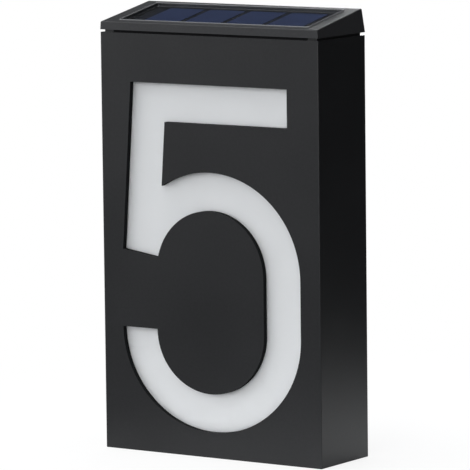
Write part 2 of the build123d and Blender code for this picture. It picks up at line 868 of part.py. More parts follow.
with BuildPart() as battery_spring:
    with BuildLine() as spring_path:
        Line(spring_foot, tail_in)
        TangentArc(tail_in, coil_first, tangent=axial)
        for start, end, heading in spring_arcs:
            TangentArc(start, end, tangent=heading)
        TangentArc(coil_last, tail_out, tangent=coil_heading)
        Line(tail_out, spring_tip)
    with BuildSketch(Plane(origin=spring_foot, z_dir=axial)):
        Circle(spring_wire / 2)
    sweep(path=spring_path.line)

battery_spring.part.label = "battery_spring"
export_step(battery_spring.part, "parts/battery_spring.step")
print("spring: least gap between turns", round(coil_pitch - spring_wire, 2))

# ------------------------------------------------------------- control board
part_row_z = board_height - part_row_drop

with BuildPart() as control_board:
    with BuildSketch(Plane.XZ.offset(-board_back_y)):
        with Locations((0, board_height)):
            Rectangle(board_width, board_tall)
        with Locations((-board_post_x, board_height), (board_post_x, board_height)):
            Circle(board_screw_shank + thread_gap, mode=Mode.SUBTRACT)
    extrude(amount=board_thickness)

control_board.part.label = "control_board"
export_step(control_board.part, "parts/control_board.step")

board_screw = screw(dome_head(board_screw_head, board_screw_dome), board_screw_shank, board_screw_grip)
head_front_y = board_front_y - board_screw_dome
board_screw_planes = [
    Plane(origin=(x, head_front_y, board_height), x_dir=(1, 0, 0), z_dir=(0, -1, 0))
    for x in (-board_post_x, board_post_x)
]
with BuildPart() as board_screws:
    with Locations(*board_screw_planes):
        add(board_screw)

board_screws.part.label = "board_screws"
export_step(board_screws.part, "parts/board_screws.step")

with BuildPart() as control_chip:
    with BuildSketch(Plane.XZ.offset(-board_front_y)):
        with Locations((chip_x, part_row_z)):
            Rectangle(chip_body_width, chip_body_tall)
    extrude(amount=chip_body_thickness)

control_chip.part.label = "control_chip"
export_step(control_chip.part, "parts/control_chip.step")

with BuildPart() as storage_coil:
    with BuildSketch(Plane.XZ.offset(-board_front_y)):
        with Locations((0, part_row_z)):
            Circle(coil_radius)
    extrude(amount=coil_height)

storage_coil.part.label = "storage_coil"
export_step(storage_coil.part, "parts/storage_coil.step")

with BuildPart() as smoothing_capacitor:
    with BuildSketch(Plane.XZ.offset(-board_front_y)):
        with Locations((capacitor_x, board_height - capacitor_drop)):
            Circle(capacitor_radius)
    extrude(amount=capacitor_height)
    fillet(smoothing_capacitor.faces().sort_by(Axis.Y)[0].edges(), edge_radius)

smoothing_capacitor.part.label = "smoothing_capacitor"
export_step(smoothing_capacitor.part, "parts/smoothing_capacitor.step")

# ------------------------------------------------------------- on/off switch
lever_rest_x = -switch_travel / 2
switch_top_y = board_back_y + switch_body_depth
lever_foot_y = switch_top_y - switch_pocket_depth
flange_back_y = cover_inner_y - running_gap
flange_face_y = flange_back_y - knob_flange_thickness

with BuildPart() as switch_housing:
    with BuildSketch(Plane.XZ.offset(-board_back_y)):
        with Locations((0, board_height)):
            Rectangle(switch_body_width, switch_body_tall)
    extrude(amount=-switch_body_depth)
    with BuildSketch(Plane.XZ.offset(-switch_top_y)):
        with Locations((0, board_height)):
            Rectangle(
                switch_lever_width + switch_travel + 2 * running_gap,
                switch_lever_tall + 2 * running_gap,
            )
    extrude(amount=switch_pocket_depth, mode=Mode.SUBTRACT)

switch_housing.part.label = "switch_housing"
export_step(switch_housing.part, "parts/switch_housing.step")

with BuildPart() as switch_lever:
    with BuildSketch(Plane.XZ.offset(-(lever_foot_y + running_gap))):
        with Locations((lever_rest_x, board_height)):
            Rectangle(switch_lever_width, switch_lever_tall)
    extrude(amount=-(flange_back_y - lever_foot_y - running_gap))

switch_lever.part.label = "switch_lever"
export_step(switch_lever.part, "parts/switch_lever.step")

with BuildPart() as switch_knob:
    with BuildSketch(Plane.XZ.offset(-flange_face_y)):
        with Locations((lever_rest_x, board_height)):
            Rectangle(knob_flange_width, knob_flange_tall)
    extrude(amount=-knob_flange_thickness)
    with BuildSketch(Plane.XZ.offset(-flange_back_y)):
        with Locations((lever_rest_x, board_height)):
            Rectangle(knob_width, knob_tall)
    extrude(amount=-(knob_top_y - flange_back_y))
    # Socket over the lever.
    with BuildSketch(Plane.XZ.offset(-flange_face_y)):
        with Locations((lever_rest_x, board_height)):
            Rectangle(switch_lever_width + 2 * thread_gap, switch_lever_tall + 2 * thread_gap)
    extrude(amount=-knob_flange_thickness, mode=Mode.SUBTRACT)
    # Grip grooves across the finger piece.
    with BuildSketch(Plane.XZ.offset(-knob_top_y)):
        with Locations((lever_rest_x, board_height)):
            with GridLocations(grip_pitch, 0, grip_count, 1):
                Rectangle(grip_groove, knob_tall)
    extrude(amount=grip_groove, mode=Mode.SUBTRACT)

switch_knob.part.label = "switch_knob"
export_step(switch_knob.part, "parts/switch_knob.step")

# ----------------------------------------------------------------- solar lid
slope = math.radians(lid_slope)
lid_top_plane = Plane(
    origin=(0, front_y, lid_front_top),
    x_dir=(1, 0, 0),
    z_dir=(0, -math.sin(slope), math.cos(slope)),
)
draft_run = math.tan(math.radians(lid_side_draft))
module_thickness = glass_thickness + cell_thickness + backing_thickness
pocket_depth = window_recess + module_thickness
window_middle = window_front_rim + window_depth / 2
hollow_half_width = case_width / 2 - lid_rim
hollow_drop = (pocket_depth + lid_floor) / math.cos(slope)
hollow_front_y = front_y + (hollow_drop + hollow_least - lid_front_height) / math.tan(slope)
hollow_rear_y = back_y - lid_rim
hollow_rear_top = lid_front_top + (hollow_rear_y - front_y) * math.tan(slope) - hollow_drop

with BuildPart() as solar_lid:
    # Side profile, drafted sides and soft upper edges.
    with BuildSketch(Plane.YZ):
        with BuildLine():
            Polyline(
                (front_y, lid_bottom),
                (front_y, lid_front_top),
                (lid_rear_y, lid_bottom + lid_rear_height),
                (back_y, lid_bottom),
                close=True,
            )
        make_face()
    extrude(amount=case_width / 2, both=True)
    with BuildSketch(front_plane):
        with BuildLine():
            Polyline(
                (-case_width / 2, lid_bottom),
                (-case_width / 2 + draft_run * lid_rear_height, lid_bottom + lid_rear_height),
                (case_width / 2 - draft_run * lid_rear_height, lid_bottom + lid_rear_height),
                (case_width / 2, lid_bottom),
                close=True,
            )
        make_face()
    extrude(amount=-case_depth, mode=Mode.INTERSECT)
    fillet(solar_lid.faces().sort_by(Axis.Z)[-1].edges(), lid_top_radius)

    # Window for the solar module.
    with BuildSketch(lid_top_plane):
        with Locations((0, window_middle)):
            RectangleRounded(window_width, window_depth, window_corner)
    extrude(amount=-pocket_depth, mode=Mode.SUBTRACT)

    # Hollow underside, with bosses that stand on the roof of the case.
    with BuildSketch(Plane.YZ):
        with BuildLine():
            Polyline(
                (hollow_front_y, lid_bottom),
                (hollow_front_y, lid_bottom + hollow_least),
                (hollow_rear_y, hollow_rear_top),
                (hollow_rear_y, lid_bottom),
                close=True,
            )
        make_face()
    extrude(amount=hollow_half_width, both=True, mode=Mode.SUBTRACT)
    boss_ceiling = lid_front_top + (lid_screw_y - front_y) * math.tan(slope) - hollow_drop
    with BuildSketch(roof_plane):
        with Locations((-lid_screw_x, lid_screw_y), (lid_screw_x, lid_screw_y)):
            Circle(lid_boss_radius)
    extrude(amount=boss_ceiling - case_height + lid_floor / 2)
    with BuildSketch(roof_plane):
        with Locations((-lid_screw_x, lid_screw_y), (lid_screw_x, lid_screw_y)):
            Circle(lid_screw_shank + thread_gap)
    extrude(amount=lid_pilot_depth, mode=Mode.SUBTRACT)
    with BuildSketch(Plane.XY.offset(lid_bottom)):
        with Locations((roof_lead_x, roof_lead_y)):
            Circle(lid_lead_radius)
    extrude(amount=lid_rear_height - pocket_depth, mode=Mode.SUBTRACT)

    # Hooks that reach under the front of the roof.
    toe_top = cavity_top - running_gap
    for x in (-hook_x, hook_x):
        with BuildSketch(Plane.YZ.offset(x - hook_width / 2)):
            with BuildLine():
                Polyline(
                    (hook_front, lid_bottom),
                    (hook_front, toe_top),
                    (hook_front - hook_reach, toe_top),
                    (hook_front, toe_top - hook_toe),
                    (hook_front + hook_thickness, toe_top - hook_toe),
                    (hook_front + hook_thickness, lid_bottom),
                    close=True,
                )
            make_face()
        extrude(amount=hook_width)

solar_lid.part.label = "solar_lid"
export_step(solar_lid.part, "parts/solar_lid.step")

# -------------------------------------------------------------- solar module
glass_top_plane = lid_top_plane.offset(-window_recess)
glass_width = window_width - 2 * running_gap
glass_depth = window_depth - 2 * running_gap
cell_middle = window_middle + glass_depth / 2 - cell_rear_margin - cell_length / 2

with BuildPart() as solar_glass:
    with BuildSketch(glass_top_plane):
        with Locations((0, window_middle)):
            RectangleRounded(glass_width, glass_depth, window_corner)
    extrude(amount=-glass_thickness)

solar_glass.part.label = "solar_glass"
export_step(solar_glass.part, "parts/solar_glass.step")

with BuildPart() as solar_cells:
    with BuildSketch(glass_top_plane.offset(-glass_thickness)):
        with Locations((0, cell_middle)):
            with GridLocations(cell_pitch, 0, cell_count, 1):
                Rectangle(cell_width, cell_length)
    extrude(amount=-cell_thickness)

solar_cells.part.label = "solar_cells"
export_step(solar_cells.part, "parts/solar_cells.step")

with BuildPart() as solar_backing:
    with BuildSketch(glass_top_plane.offset(-glass_thickness - cell_thickness)):
        with Locations((0, window_middle)):
            RectangleRounded(glass_width, glass_depth, window_corner)
    extrude(amount=-backing_thickness)

solar_backing.part.label = "solar_backing"
export_step(solar_backing.part, "parts/solar_backing.step")

# ------------------------------------------------------ lid seal and screws
lid_seal_inset = neck_inset + neck_width + drop_in_gap
lid_seal_width = lid_rim - lid_seal_inset

with BuildPart() as lid_seal:
    with BuildSketch(roof_plane):
        Rectangle(case_width - 2 * lid_seal_inset, case_depth - 2 * lid_seal_inset)
        Rectangle(
            case_width - 2 * (lid_seal_inset + lid_seal_width),
            case_depth - 2 * (lid_seal_inset + lid_seal_width),
            mode=Mode.SUBTRACT,
        )
    extrude(amount=reveal_height)

lid_seal.part.label = "lid_seal"
export_step(lid_seal.part, "parts/lid_seal.step")

lid_screw = screw(dome_head(lid_screw_head, lid_screw_dome), lid_screw_shank, lid_screw_grip)
lid_screw_planes = [
    Plane(origin=(x, lid_screw_y, cavity_top - lid_screw_dome), x_dir=(1, 0, 0), z_dir=(0, 0, -1))
    for x in (-lid_screw_x, lid_screw_x)
]
with BuildPart() as lid_screws:
    with Locations(*lid_screw_planes):
        add(lid_screw)

lid_screws.part.label = "lid_screws"
export_step(lid_screws.part, "parts/lid_screws.step")

# --------------------------------------------------------------- inner leads
def lead(points: list, diameter: float, bend: float) -> Part:
    """Round wire along straight runs joined by arcs."""
    with BuildPart() as wire:
        with BuildLine() as route:
            FilletPolyline(*points, radius=bend)
        with BuildSketch(Plane(origin=points[0], z_dir=Vector(*points[1]) - Vector(*points[0]))):
            Circle(diameter / 2)
        sweep(path=route.line)
    return wire.part


# From the solar module straight down to the top edge of the control board.
module_under_z = (
    lid_front_top + (roof_lead_y - front_y) * math.tan(slope) - pocket_depth / math.cos(slope)
)

with BuildPart() as solar_leads:
    for x in (roof_lead_x - lead_spacing / 2, roof_lead_x + lead_spacing / 2):
        add(
            lead(
                [
                    (x, roof_lead_y, module_under_z - thread_gap),
                    (x, roof_lead_y, pad_high_z),
                    (x, board_front_y, pad_high_z),
                ],
                supply_wire,
                lead_bend,
            )
        )

solar_leads.part.label = "solar_leads"
export_step(solar_leads.part, "parts/solar_leads.step")

# From the strips along the floor of the tray, through its hole and down to the board.
strip_inner_x = strip_x - strip_width / 2
floor_wire_y = tray_floor_y - light_wire / 2
with BuildPart() as led_leads:
    for side in (-1, 1):
        for level, pad_x in ((1, light_pad_x + lead_spacing), (-1, light_pad_x)):
            z = tray_lead_height + level * lead_spacing / 2
            x = side * lead_spacing / 2
            add(
                lead(
                    [
                        (side * strip_inner_x, floor_wire_y, z),
                        (x, floor_wire_y, z),
                        (x, roof_lead_y, z),
                        (side * pad_x, roof_lead_y, z - light_lead_drop),
                        (side * pad_x, roof_lead_y, pad_high_z),
                        (side * pad_x, board_front_y, pad_high_z),
                    ],
                    light_wire,
                    light_bend,
                )
            )

led_leads.part.label = "led_leads"
export_step(led_leads.part, "parts/led_leads.step")

# From the cell's contacts out through the ends of the well and up to the board.
pad_low_z = board_height + low_pad_rise
pad_side_x = board_width / 2 - pad_reach
with BuildPart() as battery_leads:
    for side in (-1, 1):
        add(
            lead(
                [
                    (side * well_inner_width / 2, lead_exit_y, well_height),
                    (side * supply_lead_x, lead_exit_y, well_height),
                    (side * supply_lead_x, lead_exit_y, board_low_z),
                    (side * pad_side_x, lead_exit_y, pad_low_z),
                    (side * pad_side_x, board_front_y, pad_low_z),
                ],
                supply_wire,
                lead_bend,
            )
        )

battery_leads.part.label = "battery_leads"
export_step(battery_leads.part, "parts/battery_leads.step")
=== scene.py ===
"""Looks of the illuminated house number sign: finishes, fine pieces, light and camera.

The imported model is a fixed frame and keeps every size. Finishes and lamps are sized in metres and
meshes in millimetres. X runs to the right seen from the front, Y from the front face to the wall
and Z up, with the origin under the middle of the sign.
"""

import logging
import math
from collections.abc import Sequence
from dataclasses import dataclass, field, replace
from enum import Enum
from itertools import product
from typing import Any

import bmesh
import bpy
from mathutils import Matrix, Vector


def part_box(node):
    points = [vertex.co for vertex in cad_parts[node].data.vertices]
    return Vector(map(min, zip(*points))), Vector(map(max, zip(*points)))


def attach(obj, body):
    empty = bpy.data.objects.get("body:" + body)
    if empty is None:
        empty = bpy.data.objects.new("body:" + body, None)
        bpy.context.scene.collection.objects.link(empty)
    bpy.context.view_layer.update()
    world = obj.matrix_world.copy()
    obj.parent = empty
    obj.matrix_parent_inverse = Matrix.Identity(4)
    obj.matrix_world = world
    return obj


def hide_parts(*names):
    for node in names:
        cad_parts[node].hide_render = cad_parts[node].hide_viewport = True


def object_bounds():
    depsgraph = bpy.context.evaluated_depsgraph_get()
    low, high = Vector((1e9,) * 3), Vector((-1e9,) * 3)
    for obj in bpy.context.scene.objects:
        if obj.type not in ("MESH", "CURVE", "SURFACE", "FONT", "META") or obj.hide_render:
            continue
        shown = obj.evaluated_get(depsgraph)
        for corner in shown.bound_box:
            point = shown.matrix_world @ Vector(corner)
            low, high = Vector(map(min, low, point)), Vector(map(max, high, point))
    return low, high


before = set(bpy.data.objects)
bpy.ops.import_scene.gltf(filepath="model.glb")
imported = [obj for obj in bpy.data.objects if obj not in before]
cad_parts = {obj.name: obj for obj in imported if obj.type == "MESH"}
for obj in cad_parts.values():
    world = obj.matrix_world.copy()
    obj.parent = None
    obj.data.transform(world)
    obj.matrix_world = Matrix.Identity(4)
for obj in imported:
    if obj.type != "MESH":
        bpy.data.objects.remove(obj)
CAD_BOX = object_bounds()

log = logging.getLogger("house_number_sign")

MM = 0.001
IMAGE_SIDE = 470           # pixels along each side of the picture
SENSOR_WIDTH = 36.0        # millimetres
SHARP_ANGLE = math.radians(32.0)
SIDES = (-1, 1)            # left and right, or low and high

Colour = tuple[float, float, float]
Point = tuple[float, float, float]
Spot = tuple[float, float]         # x and z of a place on a face that looks forward
Profile = tuple[tuple[float, float], ...]

WHITE: Colour = (1.0, 1.0, 1.0)


def rgba(colour: Colour) -> tuple[float, float, float, float]:
    """Opaque colour as four numbers."""
    return (*colour, 1.0)


def centred(count: int) -> list[float]:
    """Steps that are one apart and centred on 0."""
    return [step - (count - 1) / 2 for step in range(count)]


# ------------------------------------------------------------------- shaders
class Signal:
    """One output of a shader node. Arithmetic on it adds Math nodes."""

    def __init__(self, shader: "Shader", socket: bpy.types.NodeSocket) -> None:
        """Keeps the output with its tree.

        Args:
            shader: The node tree that the output belongs to.
            socket: The output itself.
        """
        self.shader = shader
        self.socket = socket

    def _math(self, operation: str, *values: "Signal | float") -> "Signal":
        """Math node over the given values."""
        return self.shader.node("ShaderNodeMath", {"operation": operation}, dict(enumerate(values)))

    def __add__(self, other: "Signal | float") -> "Signal":
        """Sum."""
        return self._math("ADD", self, other)

    __radd__ = __add__

    def __sub__(self, other: "Signal | float") -> "Signal":
        """Difference."""
        return self._math("SUBTRACT", self, other)

    def __rsub__(self, other: "Signal | float") -> "Signal":
        """Difference with this signal taken away."""
        return self._math("SUBTRACT", other, self)

    def __mul__(self, other: "Signal | float") -> "Signal":
        """Product."""
        return self._math("MULTIPLY", self, other)

    __rmul__ = __mul__

    def __gt__(self, other: "Signal | float") -> "Signal":
        """1 where this signal is the greater, and 0 elsewhere."""
        return self._math("GREATER_THAN", self, other)

    def __lt__(self, other: "Signal | float") -> "Signal":
        """1 where this signal is the lesser, and 0 elsewhere."""
        return self._math("LESS_THAN", self, other)

    def __mod__(self, other: "Signal | float") -> "Signal":
        """Remainder, never negative."""
        return self._math("FLOORED_MODULO", self, other)

    def __abs__(self) -> "Signal":
        """Size without its sign."""
        return self._math("ABSOLUTE", self)

    def clamped(self) -> "Signal":
        """The signal held between 0 and 1."""
        return self.shader.node("ShaderNodeClamp", {}, {"Value": self})

    def swing(self, reach: float) -> "Signal":
        """Noise about 0.5 turned into a value about 0 with the given reach."""
        return (self - 0.5) * reach

    def band(self, pitch: float, width: float) -> "Signal":
        """Even stripes, one of them with its middle at 0.

        Args:
            pitch: From one stripe to the next.
            width: Of a stripe.

        Returns:
            1 on a stripe and 0 between stripes.
        """
        half = pitch / 2
        return abs((self + half) % pitch - half) < width / 2


class Shader:
    """Node tree of one material or world."""

    MIX_FACTOR, MIX_FIRST, MIX_SECOND, MIX_COLOUR = 0, 6, 7, 2     # a Mix node's colour sockets

    def __init__(self, owner: "bpy.types.Material | bpy.types.World") -> None:
        """Starts an empty node tree.

        Args:
            owner: The material or world, whose nodes are cleared first.
        """
        owner.use_nodes = True
        self.tree = owner.node_tree
        self.tree.nodes.clear()

    def node(
        self, kind: str, settings: dict[str, Any], inputs: dict[Any, Any], output: "int | str" = 0
    ) -> Signal:
        """Adds any node.

        Args:
            kind: The node's type.
            settings: Its settings, which are set before its sockets.
            inputs: Values or signals by socket name or number.
            output: Which output to return.

        Returns:
            The chosen output.
        """
        made = self.tree.nodes.new(kind)
        for name, value in settings.items():
            setattr(made, name, value)
        for name, value in inputs.items():
            if isinstance(value, Signal):
                self.tree.links.new(value.socket, made.inputs[name])
            else:
                made.inputs[name].default_value = value
        return Signal(self, made.outputs[output])

    def finish(self, surface: Signal, kind: str = "ShaderNodeOutputMaterial") -> None:
        """Leads a surface to an output node, by default a material's."""
        made = self.tree.nodes.new(kind)
        self.tree.links.new(surface.socket, made.inputs["Surface"])

    def place(self) -> Signal:
        """Position on the object, in metres."""
        return self.node("ShaderNodeTexCoord", {}, {}, "Object")

    def axis(self, name: str) -> Signal:
        """One coordinate of the position on the object."""
        return self.node("ShaderNodeSeparateXYZ", {}, {"Vector": self.place()}, name)

    def ray(self, name: str) -> Signal:
        """What the Light Path node says about the ray that arrives."""
        return self.node("ShaderNodeLightPath", {}, {}, name)

    def backfacing(self) -> Signal:
        """1 where a face is seen from behind, and 0 elsewhere."""
        return self.node("ShaderNodeNewGeometry", {}, {}, "Backfacing")

    def compare(self, operation: str, first: Signal, second: Point) -> Signal:
        """One number worked out from two vectors by a Vector Math node."""
        inputs = {0: first, 1: second}
        return self.node("ShaderNodeVectorMath", {"operation": operation}, inputs, "Value")

    def ease(self, value: Signal, start: float, end: float) -> Signal:
        """Smooth rise from 0 to 1.

        Args:
            value: The signal that it follows.
            start: Its value where the rise starts.
            end: Its value where the rise ends.

        Returns:
            The rise.
        """
        inputs = {"Value": value, "From Min": start, "From Max": end}
        return self.node("ShaderNodeMapRange", {"interpolation_type": "SMOOTHSTEP"}, inputs)

    def noise(self, size: float, detail: float = 2.0) -> Signal:
        """Cloudy noise.

        Args:
            size: Of one cloud, in metres.
            detail: Octaves of finer noise on it.

        Returns:
            A value about 0.5, between 0 and 1.
        """
        inputs = {"Vector": self.place(), "Scale": 1 / size, "Detail": detail}
        return self.node("ShaderNodeTexNoise", {}, inputs)

    def mix(self, factor: Signal, first: Any, second: Any) -> Signal:
        """Colour between two colours.

        Args:
            factor: 0 at the first colour and 1 at the second.
            first: A colour or a signal.
            second: A colour or a signal.

        Returns:
            The mixed colour.
        """
        inputs = {
            self.MIX_FACTOR: factor,
            self.MIX_FIRST: self._as_colour(first),
            self.MIX_SECOND: self._as_colour(second),
        }
        settings = {"data_type": "RGBA", "clamp_factor": True}
        return self.node("ShaderNodeMix", settings, inputs, self.MIX_COLOUR)

    @staticmethod
    def _as_colour(value: Any) -> Any:
        """A socket's value for a plain colour, and a signal as it is."""
        return value if isinstance(value, Signal) else rgba(value)

    def bump(self, height: Signal, depth: float) -> Signal:
        """Surface normal over a height between 0 and 1, whose full depth is given in metres."""
        inputs = {"Height": height, "Distance": depth, "Strength": 1.0}
        return self.node("ShaderNodeBump", {}, inputs)

    def principled(self, inputs: dict[str, Any]) -> Signal:
        """Principled surface with the given sockets."""
        return self.node("ShaderNodeBsdfPrincipled", {}, inputs)

    def blend(self, share: Signal, first: Signal, second: Signal) -> Signal:
        """Surface that is the first where the share is 0 and the second where it is 1."""
        return self.node("ShaderNodeMixShader", {}, {0: share, 1: first, 2: second})


# ------------------------------------------------------------------ finishes
@dataclass(frozen=True)
class Finish:
    """One material. Each kind of finish describes its own surface."""

    name: str

    def surface(self, shader: Shader) -> Signal:
        """The finish's surface, made of nodes in the given tree."""
        raise NotImplementedError

    def build(self) -> bpy.types.Material:
        """Makes the material.

        Returns:
            The material.
        """
        made = bpy.data.materials.new(self.name)
        shader = Shader(made)
        shader.finish(self.surface(shader))
        return made


@dataclass(frozen=True)
class MouldedBlack(Finish):
    """Satin black moulded plastic with a fine spark-eroded grain."""

    name: str = "moulded_black"
    colour: Colour = (0.0075, 0.0078, 0.0088)
    worn: Colour = (0.0127, 0.0131, 0.0143)
    roughness: float = 0.34
    grain: float = 0.00032
    grain_depth: float = 0.000012
    grain_dullness: float = 0.08   # change of roughness over the grain
    flow: float = 0.045            # size of the marks that the melt leaves
    flow_dullness: float = 0.06
    mottle: float = 0.0011
    mottle_share: float = 1.8      # contrast of the mottle

    def surface(self, shader: Shader) -> Signal:
        """The plastic's surface.

        Args:
            shader: The tree that takes its nodes.

        Returns:
            The surface.
        """
        grain = shader.noise(self.grain, detail=3.0)
        flow = shader.noise(self.flow)
        mottle = flow + shader.noise(self.mottle).swing(self.mottle_share)
        dullness = flow.swing(self.flow_dullness) + grain.swing(self.grain_dullness)
        return shader.principled(
            {
                "Base Color": shader.mix(mottle.clamped(), self.colour, self.worn),
                "Roughness": self.roughness + dullness,
                "Normal": shader.bump(grain, self.grain_depth),
            }
        )


@dataclass(frozen=True)
class CaseBlack(MouldedBlack):
    """The case's plastic, with dull walls inside the cut-out numeral that are painted darker as
    shade.
    """

    name: str = "case_black"
    wall_front: float = -0.01845   # Y from which the numeral's walls are dull
    wall_back: float = -0.0158
    wall_reach: float = 0.050      # from the middle of the sign to each side
    # painted shade: the numeral's walls take a darker colour than the same plastic elsewhere
    wall_shade_colour: Colour = (0.004, 0.004, 0.0045)
    wall_roughness: float = 0.8
    wall_gloss: float = 0.1

    def surface(self, shader: Shader) -> Signal:
        """The plastic's surface, dull and painted darker as shade where the numeral's walls are.

        Args:
            shader: The tree that takes its nodes.

        Returns:
            The surface.
        """
        depth = shader.axis("Y")
        near = abs(shader.axis("X")) < self.wall_reach
        wall = (depth > self.wall_front) * (depth < self.wall_back) * near
        # painted shade on the numeral's walls, with a rougher, less glossy finish
        dull_shaded_wall = shader.principled(
            {
                "Base Color": shader.mix(shader.noise(self.mottle), self.wall_shade_colour, self.colour),
                "Roughness": self.wall_roughness,
                "Specular IOR Level": self.wall_gloss,
            }
        )
        return shader.blend(wall, super().surface(shader), dull_shaded_wall)


@dataclass(frozen=True)
class OpalAcrylic(Finish):
    """Opal acrylic with a satin face and faint clouding."""

    name: str = "opal_acrylic"
    colour: Colour = (0.845, 0.872, 0.895)
    cloud: Colour = (0.865, 0.892, 0.915)
    cloud_size: float = 0.03
    spread: float = 0.006          # of light under the face
    roughness: float = 0.5
    gloss: float = 0.3
    satin: float = 0.0004
    satin_depth: float = 0.000004
    satin_dullness: float = 0.1

    def surface(self, shader: Shader) -> Signal:
        """The panel's surface.

        Args:
            shader: The tree that takes its nodes.

        Returns:
            The surface.
        """
        satin = shader.noise(self.satin)
        return shader.principled(
            {
                "Base Color": shader.mix(shader.noise(self.cloud_size), self.colour, self.cloud),
                "Roughness": self.roughness + satin.swing(self.satin_dullness),
                "Specular IOR Level": self.gloss,
                "Subsurface Weight": 1.0,
                "Subsurface Radius": WHITE,
                "Subsurface Scale": self.spread,
                "Normal": shader.bump(satin, self.satin_depth),
            }
        )


@dataclass(frozen=True)
class ModuleGlass(Finish):
    """Clear cover of the solar module: see-through, with its gloss on top."""

    name: str = "module_glass"
    tint: Colour = (0.92, 0.94, 0.97)
    roughness: float = 0.1
    index: float = 1.46

    def surface(self, shader: Shader) -> Signal:
        """The glass's surface, whose gloss is on its outer faces only.

        Args:
            shader: The tree that takes its nodes.

        Returns:
            The surface.
        """
        gloss = shader.principled(
            {"Base Color": rgba(WHITE), "Metallic": 1.0, "Roughness": self.roughness}
        )
        clear = shader.node("ShaderNodeBsdfTransparent", {}, {"Color": rgba(self.tint)})
        mirrored = shader.node("ShaderNodeFresnel", {}, {"IOR": self.index})
        return shader.blend(mirrored * (1 - shader.backfacing()), clear, gloss)


@dataclass(frozen=True)
class SiliconCell(Finish):
    """Dark blue silicon with fine collector lines."""

    name: str = "silicon_cell"
    colour: Colour = (0.023, 0.033, 0.074)
    deep: Colour = (0.021, 0.030, 0.068)
    crystal: float = 0.006
    line: Colour = (0.06, 0.075, 0.13)
    line_pitch: float = 0.0016
    line_width: float = 0.00012
    line_dullness: float = 0.1
    roughness: float = 0.3
    gloss: float = 0.1

    def surface(self, shader: Shader) -> Signal:
        """The wafer's surface.

        Args:
            shader: The tree that takes its nodes.

        Returns:
            The surface.
        """
        body = shader.mix(shader.noise(self.crystal), self.deep, self.colour)
        line = shader.axis("Y").band(self.line_pitch, self.line_width)
        return shader.principled(
            {
                "Base Color": shader.mix(line, body, self.line),
                "Roughness": self.roughness + line * self.line_dullness,
                "Specular IOR Level": self.gloss,
            }
        )


@dataclass(frozen=True)
class Plain(Finish):
    """Moulded, rubber, board or painted finish: one colour with clouding, grain and relief."""

    colour: Colour
    cloud: Colour
    roughness: float
    metallic: float = 0.0
    cloud_size: float = 0.01
    grain: float = 0.0003
    grain_dullness: float = 0.16
    depth: float = 0.00001
    gloss: float = 0.5

    def surface(self, shader: Shader) -> Signal:
        """The finish's surface.

        Args:
            shader: The tree that takes its nodes.

        Returns:
            The surface.
        """
        cloud = shader.noise(self.cloud_size, detail=3.0)
        grain = shader.noise(self.grain)
        roughness = self.roughness + grain.swing(self.grain_dullness)
        return shader.principled(
            {
                "Base Color": shader.mix(cloud, self.colour, self.cloud),
                "Metallic": self.metallic,
                "Roughness": roughness.clamped(),
                "Specular IOR Level": self.gloss,
                "Normal": shader.bump(grain, self.depth),
            }
        )


@dataclass(frozen=True)
class Metal(Plain):
    """Bare metal with finer clouding."""

    metallic: float = 1.0
    cloud_size: float = 0.001


@dataclass(frozen=True)
class PairedInsulation(Finish):
    """Wire insulation, black on the left of a border and red on its right."""

    border: float = 0.0
    black: Colour = (0.012, 0.012, 0.013)
    red: Colour = (0.42, 0.015, 0.012)
    roughness: float = 0.38
    rub: float = 0.0012            # size of the handling marks
    rub_depth: float = 0.00001
    rub_dullness: float = 0.12

    def surface(self, shader: Shader) -> Signal:
        """The insulation's surface.

        Args:
            shader: The tree that takes its nodes.

        Returns:
            The surface.
        """
        red = shader.axis("X") > self.border
        rub = shader.noise(self.rub, detail=3.0)
        return shader.principled(
            {
                "Base Color": shader.mix(red, self.black, self.red),
                "Roughness": self.roughness + rub.swing(self.rub_dullness),
                "Normal": shader.bump(rub, self.rub_depth),
            }
        )


@dataclass(frozen=True)
class CellSleeve(Finish):
    """Glossy shrink sleeve with a pale ring near the cap."""

    end: float                     # of the sleeve, at the cap
    ring_from: float = 0.0068      # from that end to the ring
    ring_width: float = 0.0035
    sleeve: Colour = (0.025, 0.19, 0.075)
    ring: Colour = (0.62, 0.62, 0.60)
    roughness: float = 0.26
    rub: float = 0.004             # size of the handling marks
    rub_depth: float = 0.00003
    rub_dullness: float = 0.1

    def surface(self, shader: Shader) -> Signal:
        """The sleeve's surface.

        Args:
            shader: The tree that takes its nodes.

        Returns:
            The surface.
        """
        ring = abs(shader.axis("X") - (self.end - self.ring_from)) < self.ring_width / 2
        rub = shader.noise(self.rub, detail=3.0)
        return shader.principled(
            {
                "Base Color": shader.mix(ring, self.sleeve, self.ring),
                "Roughness": self.roughness + rub.swing(self.rub_dullness),
                "Normal": shader.bump(rub, self.rub_depth),
            }
        )


